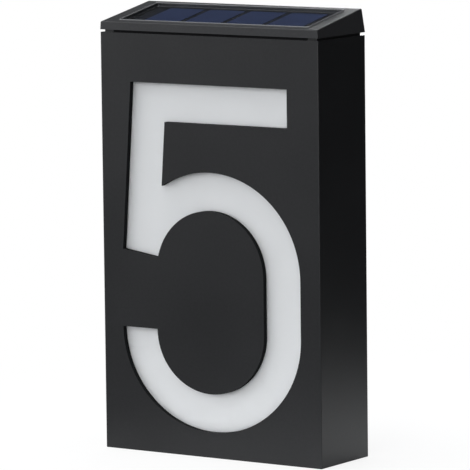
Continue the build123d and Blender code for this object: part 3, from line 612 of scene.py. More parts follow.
@dataclass(frozen=True)
class PaintedPoolFloor(Finish):
    """Floor with a painted pool of light, pale round its middle and darker away from it except to
    the camera, that keeps a soft shadow, is white to the camera and clear from below.
    """

    name: str = "studio_floor"
    # colour, middle, reach and dark paint a pool of light on the floor: pale round the middle,
    # fading to dark
    colour: Colour = (0.80, 0.80, 0.80)
    middle: Point = (0.045, 0.062, 0.0)
    reach: float = 0.29            # painted pool of light: from its middle to where the floor is painted dark, except to the camera
    dark: Colour = (0.02, 0.02, 0.02)
    white_share: float = 0.80      # of the camera's near view of the floor that is plain white
    near: float = 0.0008           # from a surface at which the floor lets light up to it

    def surface(self, shader: Shader) -> Signal:
        """The table's surface.

        Args:
            shader: The tree that takes its nodes.

        Returns:
            The surface.
        """
        distance = shader.compare("DISTANCE", shader.place(), self.middle)
        # painted pool of light: for all but camera rays the floor fades from its pale colour to
        # dark with distance from the middle
        away = shader.ease(distance, 0.0, self.reach)
        seen = shader.ray("Is Camera Ray")
        colour = shader.mix(away * (1 - seen), self.colour, self.dark)
        matt = shader.node("ShaderNodeBsdfDiffuse", {}, {"Color": colour})
        white = shader.node("ShaderNodeEmission", {}, {"Color": rgba(WHITE)})
        share = seen * (self.white_share + away * (1 - self.white_share))
        near = shader.ray("Ray Length") < self.near
        clear = shader.node("ShaderNodeBsdfTransparent", {}, {})
        below = (shader.backfacing() + near).clamped()
        return shader.blend(below, shader.blend(share, matt, white), clear)


NICKEL = Metal(
    "nickel_plate", (0.60, 0.57, 0.52), (0.66, 0.63, 0.58), 0.25,
    cloud_size=0.002, grain=0.0002, depth=0.000004,
)
SOLDER = Metal(
    "solder", (0.62, 0.62, 0.63), (0.70, 0.70, 0.71), 0.3, grain=0.0002, depth=0.000006
)
STEEL = Metal(
    "screw_steel", (0.52, 0.52, 0.53), (0.60, 0.60, 0.61), 0.32,
    cloud_size=0.002, grain=0.0002, depth=0.000006,
)
COPPER = Metal("coil_copper", (0.55, 0.20, 0.08), (0.62, 0.25, 0.11), 0.28)
ALUMINIUM = Metal("capacitor_top", (0.70, 0.70, 0.72), (0.76, 0.76, 0.78), 0.3)
LID_BLACK = MouldedBlack("lid_black", (0.020, 0.0205, 0.0225), (0.028, 0.0285, 0.0305))
RUBBER = Plain("seal_rubber", (0.008, 0.008, 0.008), (0.013, 0.013, 0.013), 0.75)
# light grey sealant for the window bead: its colour also paints the highlight along the window's
# edge
SEALANT_WITH_HIGHLIGHT = Plain(
    "sealant_painted_highlight", (0.11, 0.112, 0.116), (0.13, 0.132, 0.136), 0.25, depth=0.000004, gloss=1.0
)
MODULE_BACKING = Plain(
    "module_backing", (0.007, 0.0075, 0.010), (0.010, 0.0105, 0.014), 0.6, depth=0.000002, gloss=0.1
)
WHITE_TRAY = Plain("white_tray", (0.74, 0.74, 0.74), (0.80, 0.80, 0.80), 0.45)
STRIP_MASK = Plain("white_strip", (0.70, 0.70, 0.68), (0.76, 0.76, 0.74), 0.35)
LAMP_CERAMIC = Plain("lamp_package", (0.76, 0.76, 0.74), (0.82, 0.82, 0.80), 0.4)
PHOSPHOR = Plain("led_phosphor", (0.78, 0.58, 0.10), (0.86, 0.70, 0.18), 0.25)
RESISTOR_BODY = Plain("resistor_body", (0.016, 0.016, 0.018), (0.024, 0.024, 0.026), 0.4)
BOARD_MASK = Plain("green_board", (0.010, 0.085, 0.030), (0.014, 0.115, 0.042), 0.35)
BOARD_TRACK = Plain("board_track", (0.020, 0.150, 0.055), (0.026, 0.180, 0.066), 0.33)
CHIP_EPOXY = Plain("chip_epoxy", (0.013, 0.013, 0.014), (0.020, 0.020, 0.021), 0.55)
NYLON = Plain("switch_nylon", (0.015, 0.015, 0.015), (0.022, 0.022, 0.022), 0.5)
FERRITE = Plain("coil_ferrite", (0.030, 0.028, 0.027), (0.045, 0.042, 0.040), 0.6)
BLUE_SLEEVE = Plain("capacitor_sleeve", (0.02, 0.03, 0.09), (0.03, 0.04, 0.12), 0.35)
CARD = Plain("cell_washer", (0.70, 0.70, 0.67), (0.78, 0.78, 0.75), 0.7)


# -------------------------------------------------------------------- studio
@dataclass(frozen=True)
class Lamp:
    """Square soft lamp: its middle, the point that it faces, its side and its power in watts."""

    name: str
    place: Point
    aim: Point
    side: float
    power: float
    tint: Colour = (0.97, 0.985, 1.0)

    def build(self) -> None:
        """Makes the lamp."""
        data = bpy.data.lights.new(self.name, "AREA")
        data.shape = "SQUARE"
        data.size = self.side
        data.energy = self.power
        data.color = self.tint
        lamp = bpy.data.objects.new(self.name, data)
        lamp.location = self.place
        lamp.rotation_mode = "QUATERNION"
        way = Vector(self.aim) - Vector(self.place)
        lamp.rotation_quaternion = way.to_track_quat("-Z", "Y")
        lamp.visible_camera = False
        bpy.context.scene.collection.objects.link(lamp)
        log.info("%s is lit", self.name)


@dataclass(frozen=True)
class Studio:
    """Floor with a painted pool of light, in a room that is white in front and dark behind, with
    lamps round the sign.
    """

    floor_side: float = 8.0
    floor_gap: float = 0.0001      # under the base
    # floor whose colour paints a pool of light round the sign
    pool_floor: PaintedPoolFloor = PaintedPoolFloor()
    white_way: Point = (-0.558, -0.83, 0.0)
    white_from: float = 0.0        # cosine of the angle to that way where the room starts to pale
    white_at: float = 0.8          # and where it is white
    room_dark: Colour = (0.03, 0.03, 0.03)
    room_white: Colour = (0.97, 0.98, 1.0)
    lamps: tuple[Lamp, ...] = (
        Lamp("front_light", (0.22, -1.55, 0.40), (0.0, 0.0, 0.09), 1.0, 9.5),
        Lamp("left_light", (-1.5, -0.6, 0.35), (0.0, 0.0, 0.09), 0.9, 11.0),
        Lamp("top_light", (0.0, 0.1, 1.6), (0.0, 0.05, 0.0), 1.6, 30.0),
        Lamp("rear_light", (-0.6, 1.35, 0.30), (0.0, 0.0, 0.09), 0.5, 12.0),
        Lamp("right_light", (1.5, 0.05, 0.30), (0.0, 0.0, 0.09), 0.6, 1.6),
    )

    def build(self) -> None:
        """Makes the world, the floor and the lamps."""
        self._world()
        self._floor()
        for lamp in self.lamps:
            lamp.build()
        bpy.context.scene.view_settings.view_transform = "Standard"

    def _world(self) -> None:
        """White behind the object, and for light and gloss a room that is white in front only."""
        world = bpy.data.worlds.new("studio")
        bpy.context.scene.world = world
        shader = Shader(world)
        seen = shader.ray("Is Camera Ray") + shader.ray("Is Transmission Ray")
        way = shader.node("ShaderNodeTexCoord", {}, {}, "Generated")
        facing = shader.compare("DOT_PRODUCT", way, self.white_way)
        pale = shader.ease(facing, self.white_from, self.white_at)
        room = shader.mix(pale, self.room_dark, self.room_white)
        colour = shader.mix(seen.clamped(), room, WHITE)
        light = shader.node("ShaderNodeBackground", {}, {"Color": colour})
        shader.finish(light, "ShaderNodeOutputWorld")

    def _floor(self) -> None:
        """Makes the floor, just under the base."""
        half, level = self.floor_side / 2, -self.floor_gap
        corners = [(-half, -half), (half, -half), (half, half), (-half, half)]
        mesh = bpy.data.meshes.new("floor")
        mesh.from_pydata([(*corner, level) for corner in corners], [], [(0, 1, 2, 3)])
        mesh.materials.append(self.pool_floor.build())
        floor = bpy.data.objects.new("floor", mesh)
        bpy.context.scene.collection.objects.link(floor)


@dataclass(frozen=True)
class PhotographCamera:
    """Camera at the photograph's viewing angle. Metres."""

    azimuth: float = math.radians(33.931)
    elevation: float = math.radians(7.133)
    roll: float = math.radians(-0.660)
    distance: float = 1.98995
    focal_pixels: float = 4550.6
    aim_across: float = -0.010923  # of the aim, along the picture's width
    aim_up: float = 0.092001       # of the aim, along the picture's height

    def build(self) -> None:
        """Makes the camera and gives it to the scene."""
        turn, rise = self.azimuth, self.elevation
        flat = math.cos(rise)
        back = Vector((math.sin(turn) * flat, -math.cos(turn) * flat, math.sin(rise)))
        level_right = Vector((math.cos(turn), math.sin(turn), 0.0))
        level_up = back.cross(level_right)
        right = level_right * math.cos(self.roll) + level_up * math.sin(self.roll)
        up = level_up * math.cos(self.roll) - level_right * math.sin(self.roll)
        data = bpy.data.cameras.new("photograph_camera")
        data.sensor_width = SENSOR_WIDTH
        data.lens = self.focal_pixels / IMAGE_SIDE * SENSOR_WIDTH
        camera = bpy.data.objects.new("photograph_camera", data)
        rear = Vector((0.0, CAD_BOX[1].y, 0.0))
        place = rear + right * self.aim_across + up * self.aim_up + back * self.distance
        turned = Matrix((right, up, back)).transposed().to_4x4()
        camera.matrix_world = Matrix.Translation(place) @ turned
        bpy.context.scene.collection.objects.link(camera)
        bpy.context.scene.camera = camera


# ----------------------------------------------------------- mesh in the making
class Way(Enum):
    """Direction in which a turned body grows."""

    FORWARD = (0.0, -1.0, 0.0)
    RIGHT = (1.0, 0.0, 0.0)


class Shape:
    """Mesh in the making, in millimetres of the shared frame."""

    def __init__(self) -> None:
        """Starts an empty mesh."""
        self.work = bmesh.new()

    def box(self, low: Point, high: Point, soft: float = 0.0) -> None:
        """Adds a box.

        Args:
            low: Lowest corner.
            high: Highest corner.
            soft: Width of its softened edges.
        """
        low, high = Vector(low), Vector(high)
        size = Matrix.Diagonal((*(high - low), 1.0))
        placed = Matrix.Translation((low + high) / 2) @ size
        made = bmesh.ops.create_cube(self.work, size=1.0, matrix=placed)["verts"]
        if soft:
            edges = list({edge for vert in made for edge in vert.link_edges})
            bmesh.ops.bevel(self.work, geom=edges, offset=soft, segments=2, affect="EDGES")

    def block(self, spot: Spot, half: Spot, faces: Spot, soft: float) -> None:
        """Adds a box that stands on a face that looks forward.

        Args:
            spot: Its middle.
            half: Half its width and half its height.
            faces: Y of its front and of its back.
            soft: Width of its softened edges.
        """
        (x, z), (half_x, half_z), (front, back) = spot, half, faces
        self.box((x - half_x, front, z - half_z), (x + half_x, back, z + half_z), soft)

    def end_blocks(self, spot: Spot, half: float, span: Spot, faces: Spot, soft: float) -> None:
        """Adds a box at the foot and one at the head of a part that stands on a face.

        Args:
            spot: Middle of the part.
            half: Half the width of each box.
            span: From the middle of the part to the near end and to the far end of each box.
            faces: Y of their fronts and of their backs.
            soft: Width of their softened edges.
        """
        (x, z), (front, back) = spot, faces
        for side in SIDES:
            low, high = sorted((z + side * span[0], z + side * span[1]))
            self.box((x - half, front, low), (x + half, back, high), soft)

    def dished_box(self, low: Point, high: Point, rim: float, depth: float, taper: float) -> None:
        """Adds a box with a tapered recess in its front face.

        Args:
            low: Lowest corner.
            high: Highest corner.
            rim: Width of the rim left round the recess.
            depth: Of the recess.
            taper: Size of the recess's floor as a share of its mouth.
        """
        known = set(self.work.faces)
        self.box(low, high)
        front = min(set(self.work.faces) - known, key=lambda face: face.calc_center_median().y)
        bmesh.ops.inset_individual(self.work, faces=[front], thickness=rim)
        middle = front.calc_center_median()
        for vert in front.verts:
            vert.co = middle + (vert.co - middle) * taper + Vector((0.0, depth, 0.0))

    def turned(
        self, foot: "Point | Vector", way: Way, profile: Profile, steps: int = 40
    ) -> None:
        """Adds a body turned about an axis.

        Args:
            foot: Where the axis starts.
            way: Where it points.
            profile: Pairs of distance along the axis and radius, from the axis back to the axis,
                or for a ring from a point off the axis back to the same point.
            steps: Round the axis.
        """
        axis = Vector(way.value)
        across = Vector((0.0, 0.0, 1.0))
        up = axis.cross(across)
        looped = profile[0] == profile[-1]
        rings = []
        for distance, radius in profile[:-1] if looped else profile:
            middle = Vector(foot) + axis * distance
            turns = [math.tau * step / steps for step in range(steps)] if radius else [0.0]
            spokes = [across * math.cos(turn) + up * math.sin(turn) for turn in turns]
            rings.append([self.work.verts.new(middle + spoke * radius) for spoke in spokes])
        self._join_all(rings, looped)

    def wire(
        self, path: Sequence[Vector], radius: float, closed: bool = False, steps: int = 10
    ) -> None:
        """Adds a round wire or bead.

        Args:
            path: Points along its middle.
            radius: Of the wire.
            closed: Whether it runs back into its start.
            steps: Round the wire.
        """
        last = len(path) - 1
        turns = [math.tau * step / steps for step in range(steps)]
        side = None
        rings = []
        for index, point in enumerate(path):
            after = path[(index + 1) % len(path)] if closed else path[min(index + 1, last)]
            before = path[index - 1] if closed else path[max(index - 1, 0)]
            heading = (after - before).normalized()
            if side is None:
                side = heading.orthogonal().normalized()
            side = (side - heading * side.dot(heading)).normalized()
            other = heading.cross(side)
            spokes = [side * math.cos(turn) + other * math.sin(turn) for turn in turns]
            rings.append([self.work.verts.new(point + spoke * radius) for spoke in spokes])
        self._join_all(rings, closed)
        if not closed:
            self.work.faces.new(rings[0][::-1])
            self.work.faces.new(rings[-1])

    def _join_all(self, rings: list[list[Any]], looped: bool) -> None:
        """Joins each ring to the next one, and if looped also the last to the first."""
        for first, second in zip(rings, rings[1:] + rings[:1] if looped else rings[1:]):
            self._join(first, second)

    def _join(self, first: list[Any], second: list[Any]) -> None:
        """Joins two rings, either of which may be one point.

        Args:
            first: The first ring's vertices.
            second: The second ring's vertices.
        """
        for step in range(max(len(first), len(second))):
            after = step + 1
            corners = [
                first[step % len(first)], first[after % len(first)],
                second[after % len(second)], second[step % len(second)],
            ]
            self.work.faces.new(list(dict.fromkeys(corners)))

    def track(self, bends: Sequence[Spot], width: float, face: float, rise: float) -> None:
        """Adds a flat track on a face that looks forward.

        Args:
            bends: Where it starts, bends and ends.
            width: Of the track.
            face: Y of the face that it lies on.
            rise: How far it stands out of it.
        """
        for start, end in zip(bends, bends[1:]):
            run = Vector(end) - Vector(start)
            along = Vector((run.x, 0.0, run.y)).normalized() * (run.length + width / 2)
            across = Vector((-run.y, 0.0, run.x)).normalized() * width
            out = Vector((0.0, -rise, 0.0))
            middle = Vector(((start[0] + end[0]) / 2, face - rise / 2, (start[1] + end[1]) / 2))
            turned = Matrix((along, across, out)).transposed().to_4x4()
            bmesh.ops.create_cube(self.work, size=1.0, matrix=Matrix.Translation(middle) @ turned)

    def slab(self, outline: Sequence[Vector], run: Vector) -> None:
        """Adds a flat outline drawn out along a run.

        Args:
            outline: Its corners in order.
            run: From one face of the slab to the other.
        """
        near = [self.work.verts.new(point) for point in outline]
        far = [self.work.verts.new(point + run) for point in outline]
        self._join(near, far)
        self.work.faces.new(near[::-1])
        self.work.faces.new(far)

    def piece(
        self, name: str, material: bpy.types.Material, slot: str, replaces: tuple[str, ...] = ()
    ) -> None:
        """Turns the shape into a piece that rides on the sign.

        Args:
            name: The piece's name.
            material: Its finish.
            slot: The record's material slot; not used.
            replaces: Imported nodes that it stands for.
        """
        bmesh.ops.recalc_face_normals(self.work, faces=self.work.faces)
        bmesh.ops.scale(self.work, vec=(MM, MM, MM), verts=self.work.verts)
        mesh = bpy.data.meshes.new(name)
        self.work.to_mesh(mesh)
        self.work.free()
        mesh.shade_smooth()
        mesh.set_sharp_from_angle(angle=SHARP_ANGLE)
        mesh.materials.append(material)
        made = bpy.data.objects.new(name, mesh)
        bpy.context.scene.collection.objects.link(made)
        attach(made, "sign")
        if replaces:
            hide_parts(*replaces)
        log.info("%s is made", name)


# ----------------------------------------------------------------- the object
@dataclass(frozen=True)
class Room:
    """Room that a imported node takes, from its lowest to its highest corner. Millimetres."""

    low: Vector
    high: Vector

    @classmethod
    def of(cls, node: str) -> "Room":
        """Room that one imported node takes."""
        low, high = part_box(node)
        return cls(low / MM, high / MM)

    @property
    def middle(self) -> Vector:
        """Its middle."""
        return (self.low + self.high) / 2

    @property
    def foot(self) -> Vector:
        """Middle of its back, with which it stands on a board."""
        return Vector((self.middle.x, self.high.y, self.middle.z))


def dress(names: Sequence[str], material: bpy.types.Material) -> None:
    """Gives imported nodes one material.

    Args:
        names: The nodes.
        material: Their finish.
    """
    for name in names:
        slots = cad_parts[name].data.materials
        slots.clear()
        slots.append(material)
        log.info("%s is finished in %s", name, material.name)


@dataclass(frozen=True)
class Housing:
    """Case, lid, back cover and hatch, with their seals and screws."""

    black: tuple[str, ...] = ("back_cover", "battery_door", "switch_knob")
    seals: tuple[str, ...] = ("lid_seal", "back_seal", "battery_door_seal")
    screws: tuple[str, ...] = ("lid_screws", "cover_screws", "battery_door_screws", "board_screws")

    def build(self) -> None:
        """Dresses the housing."""
        dress(["front_case"], CaseBlack().build())
        dress(self.black, MouldedBlack().build())
        dress(["solar_lid"], LID_BLACK.build())
        dress(self.seals, RUBBER.build())
        dress(self.screws, STEEL.build())


@dataclass(frozen=True)
class SolarModule:
    """Glass, cells and backing in the lid's window, and the bead that seals it, whose light grey
    also paints the highlight along the window's edge. Millimetres.
    """

    arris: Point = (0.0, -18.5, 186.6)     # front edge of the lid's sloping top
    slope: float = math.radians(10.457)
    half_width: float = 48.5
    front: float = 3.8             # of the window, up the slope from the arris
    rear: float = 33.2
    corner: float = 1.0
    corner_steps: int = 6
    bead_radius: float = 0.3
    wafer_count: int = 4
    wafer_top: float = -1.87       # from the top of the lid, just under the glass
    wafer_bottom: float = -2.15
    wafer_width: float = 18.2
    wafer_rear: float = 31.95      # up the slope from the arris
    wafer_length: float = 22.4
    wafer_clip: float = 0.5        # cut off each corner
    wafer_pitch: float = 21.1

    def build(self) -> None:
        """Dresses the module and makes the bead and the wafers."""
        bead = Shape()
        bead.wire(self._window_edge(), self.bead_radius, closed=True)
        bead.piece("window_bead", SEALANT_WITH_HIGHLIGHT.build(), "seal_rubber")
        wafers = Shape()
        for step in centred(self.wafer_count):
            self._wafer(wafers, step * self.wafer_pitch)
        wafers.piece("cell_wafers", SiliconCell().build(), "silicon_cell", ("solar_cells",))
        dress(["solar_glass"], ModuleGlass().build())
        dress(["solar_backing"], MODULE_BACKING.build())

    def _on_lid(self, x: float, along: float, out: float = 0.0) -> Vector:
        """Point on or near the lid's sloping top.

        Args:
            x: Of the point.
            along: How far it lies up the slope from the arris.
            out: How far it stands out of the top.

        Returns:
            The point.
        """
        up_slope = Vector((0.0, math.cos(self.slope), math.sin(self.slope)))
        outward = Vector((0.0, -math.sin(self.slope), math.cos(self.slope)))
        return Vector(self.arris) + Vector((x, 0.0, 0.0)) + up_slope * along + outward * out

    def _wafer(self, shape: Shape, middle: float) -> None:
        """Adds one wafer, laid just under the glass.

        Args:
            shape: The mesh that takes it.
            middle: X of its middle.
        """
        half, clip = self.wafer_width / 2, self.wafer_clip
        near, far = self.wafer_rear - self.wafer_length, self.wafer_rear
        outline = [
            (-half + clip, near), (half - clip, near), (half, near + clip), (half, far - clip),
            (half - clip, far), (-half + clip, far), (-half, far - clip), (-half, near + clip),
        ]
        down = self._on_lid(0.0, 0.0, self.wafer_bottom) - self._on_lid(0.0, 0.0, self.wafer_top)
        shape.slab([self._on_lid(middle + x, y, self.wafer_top) for x, y in outline], down)

    def _window_edge(self) -> list[Vector]:
        """The window's rounded outline, on the lid's sloping top.

        Returns:
            Points round it.
        """
        across = self.half_width - self.corner
        near, far = self.front + self.corner, self.rear - self.corner
        corners = ((across, far), (-across, far), (-across, near), (across, near))
        points = []
        for quarter, (x, along) in enumerate(corners):
            for step in range(self.corner_steps + 1):
                turn = (quarter + step / self.corner_steps) * math.pi / 2
                right, up = self.corner * math.cos(turn), self.corner * math.sin(turn)
                points.append(self._on_lid(x + right, along + up))
        return points


@dataclass(frozen=True)
class LightBox:
    """Opal panel, white tray and the two strips behind the numeral. Millimetres."""

    strip: Room = field(default_factory=lambda: Room.of("led_strip_right"))
    sunk: float = 0.02             # how far a part is set into the strip's face
    chip_count: int = 4            # on each strip
    chip_pitch: float = 34.0
    chip_half_width: float = 1.4
    chip_half_height: float = 1.75
    chip_depth: float = 0.8
    dish_rim: float = 0.28         # of the package, round its recess
    dish_depth: float = 0.34
    dish_taper: float = 0.86
    window_inset: float = 0.34     # from the sides of the package to the phosphor
    window_front: float = 0.08     # from the front of the package to the phosphor
    window_back: float = 0.42
    window_soft: float = 0.12
    end_half_width: float = 0.95   # of a lamp's soldered end
    end_rise: float = 0.28
    end_under: float = 0.3         # of it under the package
    end_beyond: float = 0.28       # of it beyond the package
    end_soft: float = 0.1
    rail_offset: float = 3.1       # from the middle of the strip to each rail
    rail_width: float = 0.9
    rail_rise: float = 0.05
    rail_margin: float = 2.0       # from the end of the strip to the end of a rail
    rung_margin: float = 4.0       # from the end of the strip to the rung between the rails
    rung_reach: float = 0.9        # from the middle of the strip to the end of the rung
    resistor_half_width: float = 0.8
    resistor_half_height: float = 1.15
    resistor_rise: float = 0.55
    resistor_soft: float = 0.06
    cap_half_width: float = 0.82   # of a resistor's soldered end
    cap_rise: float = 0.57
    cap_from: float = 1.1          # from the middle of the resistor to its soldered end
    cap_to: float = 1.6
    lead_height: float = 132.0
    lead_spacing: float = 2.4
    lead_inset: float = 2.9        # from the middle of the strip to the leads
    lead_cone: Profile = ((-0.02, 0.0), (-0.02, 1.0), (0.12, 0.95), (0.38, 0.5), (0.46, 0.0))

    def build(self) -> None:
        """Dresses the light box and makes the lamps and tracks on its strips."""
        dress(["diffuser_panel"], OpalAcrylic().build())
        dress(["reflector_tray"], WHITE_TRAY.build())
        mask, solder = STRIP_MASK.build(), SOLDER.build()
        dress(["led_strip_left", "led_strip_right"], mask)
        dress(["led_leads"], PairedInsulation("light_leads").build())
        self._lamps(solder)
        self._tracks(mask)
        self._resistors(solder)

    def _lamps(self, solder: bpy.types.Material) -> None:
        """Makes the lamps: dished white packages, phosphor windows and soldered ends.

        Args:
            solder: Finish of the soldered ends.
        """
        packages, windows, ends = Shape(), Shape(), Shape()
        half_x, half_z = self.chip_half_width, self.chip_half_height
        face, middle = self.strip.low.y, self.strip.middle
        front = face - self.chip_depth
        window = (half_x - self.window_inset, half_z - self.window_inset)
        for side, step in product(SIDES, centred(self.chip_count)):
            x, z = side * middle.x, middle.z + step * self.chip_pitch
            packages.dished_box(
                (x - half_x, front, z - half_z), (x + half_x, face, z + half_z),
                self.dish_rim, self.dish_depth, self.dish_taper,
            )
            windows.block(
                (x, z), window, (front + self.window_front, front + self.window_back),
                self.window_soft,
            )
            ends.end_blocks(
                (x, z), self.end_half_width, (half_z - self.end_under, half_z + self.end_beyond),
                (face - self.end_rise, face + self.sunk), self.end_soft,
            )
        packages.piece("lamp_packages", LAMP_CERAMIC.build(), "white_strip", ("led_chips",))
        windows.piece("lamp_windows", PHOSPHOR.build(), "led_phosphor", ("led_chips",))
        ends.piece("lamp_joints", solder, "nickel_plate")

    def _tracks(self, mask: bpy.types.Material) -> None:
        """Makes the tracks that show as ridges under the strips' white mask.

        Args:
            mask: Finish of the mask.
        """
        tracks = Shape()
        low, high, middle = self.strip.low.z, self.strip.high.z, self.strip.middle.x
        for x, side in product((-middle, middle), SIDES):
            rail = x + side * self.rail_offset
            runs = [[(rail, low + self.rail_margin), (rail, high - self.rail_margin)]]
            for z in (low + self.rung_margin, high - self.rung_margin):
                runs.append([(rail, z), (x + side * self.rung_reach, z)])
            for run in runs:
                tracks.track(run, self.rail_width, self.strip.low.y, self.rail_rise)
        tracks.piece("strip_tracks", mask, "white_strip")

    def _resistors(self, solder: bpy.types.Material) -> None:
        """Makes the resistors between the lamps and the joints of the leads.

        Args:
            solder: Finish of the joints.
        """
        bodies, metal = Shape(), Shape()
        half = (self.resistor_half_width, self.resistor_half_height)
        face, middle = self.strip.low.y, self.strip.middle
        for side in SIDES:
            x = side * middle.x
            for step in centred(self.chip_count - 1):
                spot = (x, middle.z + step * self.chip_pitch)
                bodies.block(
                    spot, half, (face - self.resistor_rise, face - self.sunk), self.resistor_soft
                )
                metal.end_blocks(
                    spot, self.cap_half_width, (self.cap_from, self.cap_to),
                    (face - self.cap_rise, face + self.sunk), self.end_soft,
                )
            for step in centred(2):
                lead_z = self.lead_height + step * self.lead_spacing
                foot = (x - side * self.lead_inset, face, lead_z)
                metal.turned(foot, Way.FORWARD, self.lead_cone, 20)
        bodies.piece("strip_resistors", RESISTOR_BODY.build(), "chip_epoxy")
        metal.piece("strip_joints", solder, "nickel_plate")


@dataclass(frozen=True)
class ControlBoard:
    """Charge and dusk control board with its tracks, solder and small parts. Millimetres."""

    board: Room = field(default_factory=lambda: Room.of("control_board"))
    chip: Room = field(default_factory=lambda: Room.of("control_chip"))
    sunk: float = 0.02             # how far a part is set into the board's face
    high_leads: tuple[float, ...] = (-7.4, -5.0, 5.0, 7.4, 10.8, 13.2)
    high_pads: float = 117.4
    low_leads: tuple[float, ...] = (-20.4, 20.4)
    low_pads: float = 112.0
    lead_cone: Profile = (
        (-0.02, 0.0), (-0.02, 1.05), (0.10, 1.0), (0.32, 0.72), (0.62, 0.56), (0.66, 0.0)
    )
    track_width: float = 0.55
    track_rise: float = 0.05
    leg_count: int = 4             # on each side of the chip
    leg_pitch: float = 1.16
    leg_width: float = 0.44
    leg_root: float = 2.98         # from the middle of the chip
    leg_bend: Profile = (
        (0.0, 0.75), (0.35, 0.75), (0.62, 0.16), (1.05, 0.16),
        (1.05, 0.0), (0.5, 0.0), (0.25, 0.58), (0.0, 0.58),
    )
    small: tuple[Spot, ...] = (
        (-9.9, 104.5), (-3.4, 104.6), (2.5, 104.0), (9.0, 104.6), (-16.0, 97.0)
    )
    small_half_width: float = 0.62
    small_half_height: float = 0.72
    small_rise: float = 0.5
    small_soft: float = 0.05
    cap_half_width: float = 0.64   # of a small part's soldered end
    cap_rise: float = 0.52
    cap_from: float = 0.68         # from the middle of the part to its soldered end
    cap_to: float = 1.05
    cap_soft: float = 0.07

    def build(self, epoxy: bpy.types.Material, solder: bpy.types.Material) -> None:
        """Makes the tracks, the solder and the small parts.

        Args:
            epoxy: Finish of the small parts.
            solder: Finish of the solder and the chip's legs.
        """
        self._tracks()
        self._joints(solder)
        self._legs(solder)
        self._small_parts(epoxy, solder)

    def _tracks(self) -> None:
        """Makes the tracks, which show as ridges under the green mask."""
        high, low = self.high_pads, self.low_pads
        chip_x, _, chip_z = self.chip.middle
        routes = [
            [(-7.4, high), (-7.4, low), (-9.9, 109.5), (-9.9, chip_z + 4.0)],
            [(-5.0, high), (-5.0, low), (-5.0, 108.0), (-3.4, 106.4), (-3.4, 102.0)],
            [(5.0, high), (5.0, 108.5), (2.5, 106.0), (2.5, 101.0)],
            [(7.4, high), (7.4, 106.0), (9.0, 104.4), (9.0, 102.0)],
            [(10.8, high), (10.8, 110.0), (12.4, 108.4), (12.4, 95.0), (10.0, 93.0)],
            [(13.2, high), (13.2, low), (14.2, 111.0), (14.2, 93.5), (12.4, 92.2)],
            [(-20.4, low), (-14.0, low), (-12.4, 110.4), (-12.4, 99.4)],
            [(20.4, low), (15.6, low), (15.6, 94.0), (2.0, 93.0)],
            [(chip_x + 3.4, chip_z + 0.6), (-3.0, chip_z + 0.6)],
            [(chip_x + 3.4, chip_z - 1.9), (-3.6, 94.2), (1.0, 93.6)],
        ]
        tracks = Shape()
        for route in routes:
            tracks.track(route, self.track_width, self.board.low.y, self.track_rise)
        tracks.piece("board_tracks", BOARD_TRACK.build(), "green_board")

    def _joints(self, solder: bpy.types.Material) -> None:
        """Makes a cone of solder round every lead on the board.

        Args:
            solder: Its finish.
        """
        joints = Shape()
        places = [(x, self.high_pads) for x in self.high_leads]
        places += [(x, self.low_pads) for x in self.low_leads]
        for x, z in places:
            joints.turned((x, self.board.low.y, z), Way.FORWARD, self.lead_cone, 24)
        joints.piece("lead_joints", solder, "nickel_plate")

    def _legs(self, solder: bpy.types.Material) -> None:
        """Makes the chip's bent legs.

        Args:
            solder: Their finish.
        """
        legs = Shape()
        face, chip = self.board.low.y, self.chip.middle
        for side, step in product(SIDES, centred(self.leg_count)):
            root = chip.x + side * self.leg_root
            low = chip.z + step * self.leg_pitch - self.leg_width / 2
            bend = [Vector((root + side * out, face - up, low)) for out, up in self.leg_bend]
            legs.slab(bend, Vector((0.0, 0.0, self.leg_width)))
        legs.piece("chip_legs", solder, "nickel_plate")

    def _small_parts(self, epoxy: bpy.types.Material, solder: bpy.types.Material) -> None:
        """Makes the small parts with their soldered ends.

        Args:
            epoxy: Finish of their bodies.
            solder: Finish of their ends.
        """
        bodies, ends = Shape(), Shape()
        face, half = self.board.low.y, (self.small_half_width, self.small_half_height)
        for spot in self.small:
            bodies.block(spot, half, (face - self.small_rise, face - self.sunk), self.small_soft)
            ends.end_blocks(
                spot, self.cap_half_width, (self.cap_from, self.cap_to),
                (face - self.cap_rise, face + self.sunk), self.cap_soft,
            )
        bodies.piece("small_parts", epoxy, "chip_epoxy")
        ends.piece("small_part_ends", solder, "nickel_plate")


@dataclass(frozen=True)
class Coil:
    """The board's coil: a ferrite bobbin with its copper winding. Millimetres."""

    room: Room = field(default_factory=lambda: Room.of("storage_coil"))
    bobbin: Profile = (
        (0.0, 0.0), (0.0, 2.6), (0.6, 2.6), (0.7, 2.5), (0.7, 1.5), (3.4, 1.5), (3.4, 2.5),
        (3.5, 2.6), (4.05, 2.6), (4.2, 2.45), (4.2, 0.6), (4.05, 0.5), (4.05, 0.0),
    )
    turns: int = 8
    turn_steps: int = 30
    wire: float = 0.32             # diameter
    winding_radius: float = 2.2
    winding_start: float = 0.89    # from the board

    def build(self) -> None:
        """Makes the bobbin and the winding."""
        bobbin, winding = Shape(), Shape()
        bobbin.turned(self.room.foot, Way.FORWARD, self.bobbin)
        path = []
        for step in range(self.turns * self.turn_steps + 1):
            share = step / self.turn_steps
            turn = math.tau * share
            right = self.winding_radius * math.cos(turn)
            up = self.winding_radius * math.sin(turn)
            rise = self.winding_start + self.wire * share
            path.append(self.room.foot + Vector((right, -rise, up)))
        winding.wire(path, self.wire / 2, steps=8)
        bobbin.piece("coil_bobbin", FERRITE.build(), "coil_ferrite", ("storage_coil",))
        winding.piece("coil_winding", COPPER.build(), "coil_ferrite", ("storage_coil",))


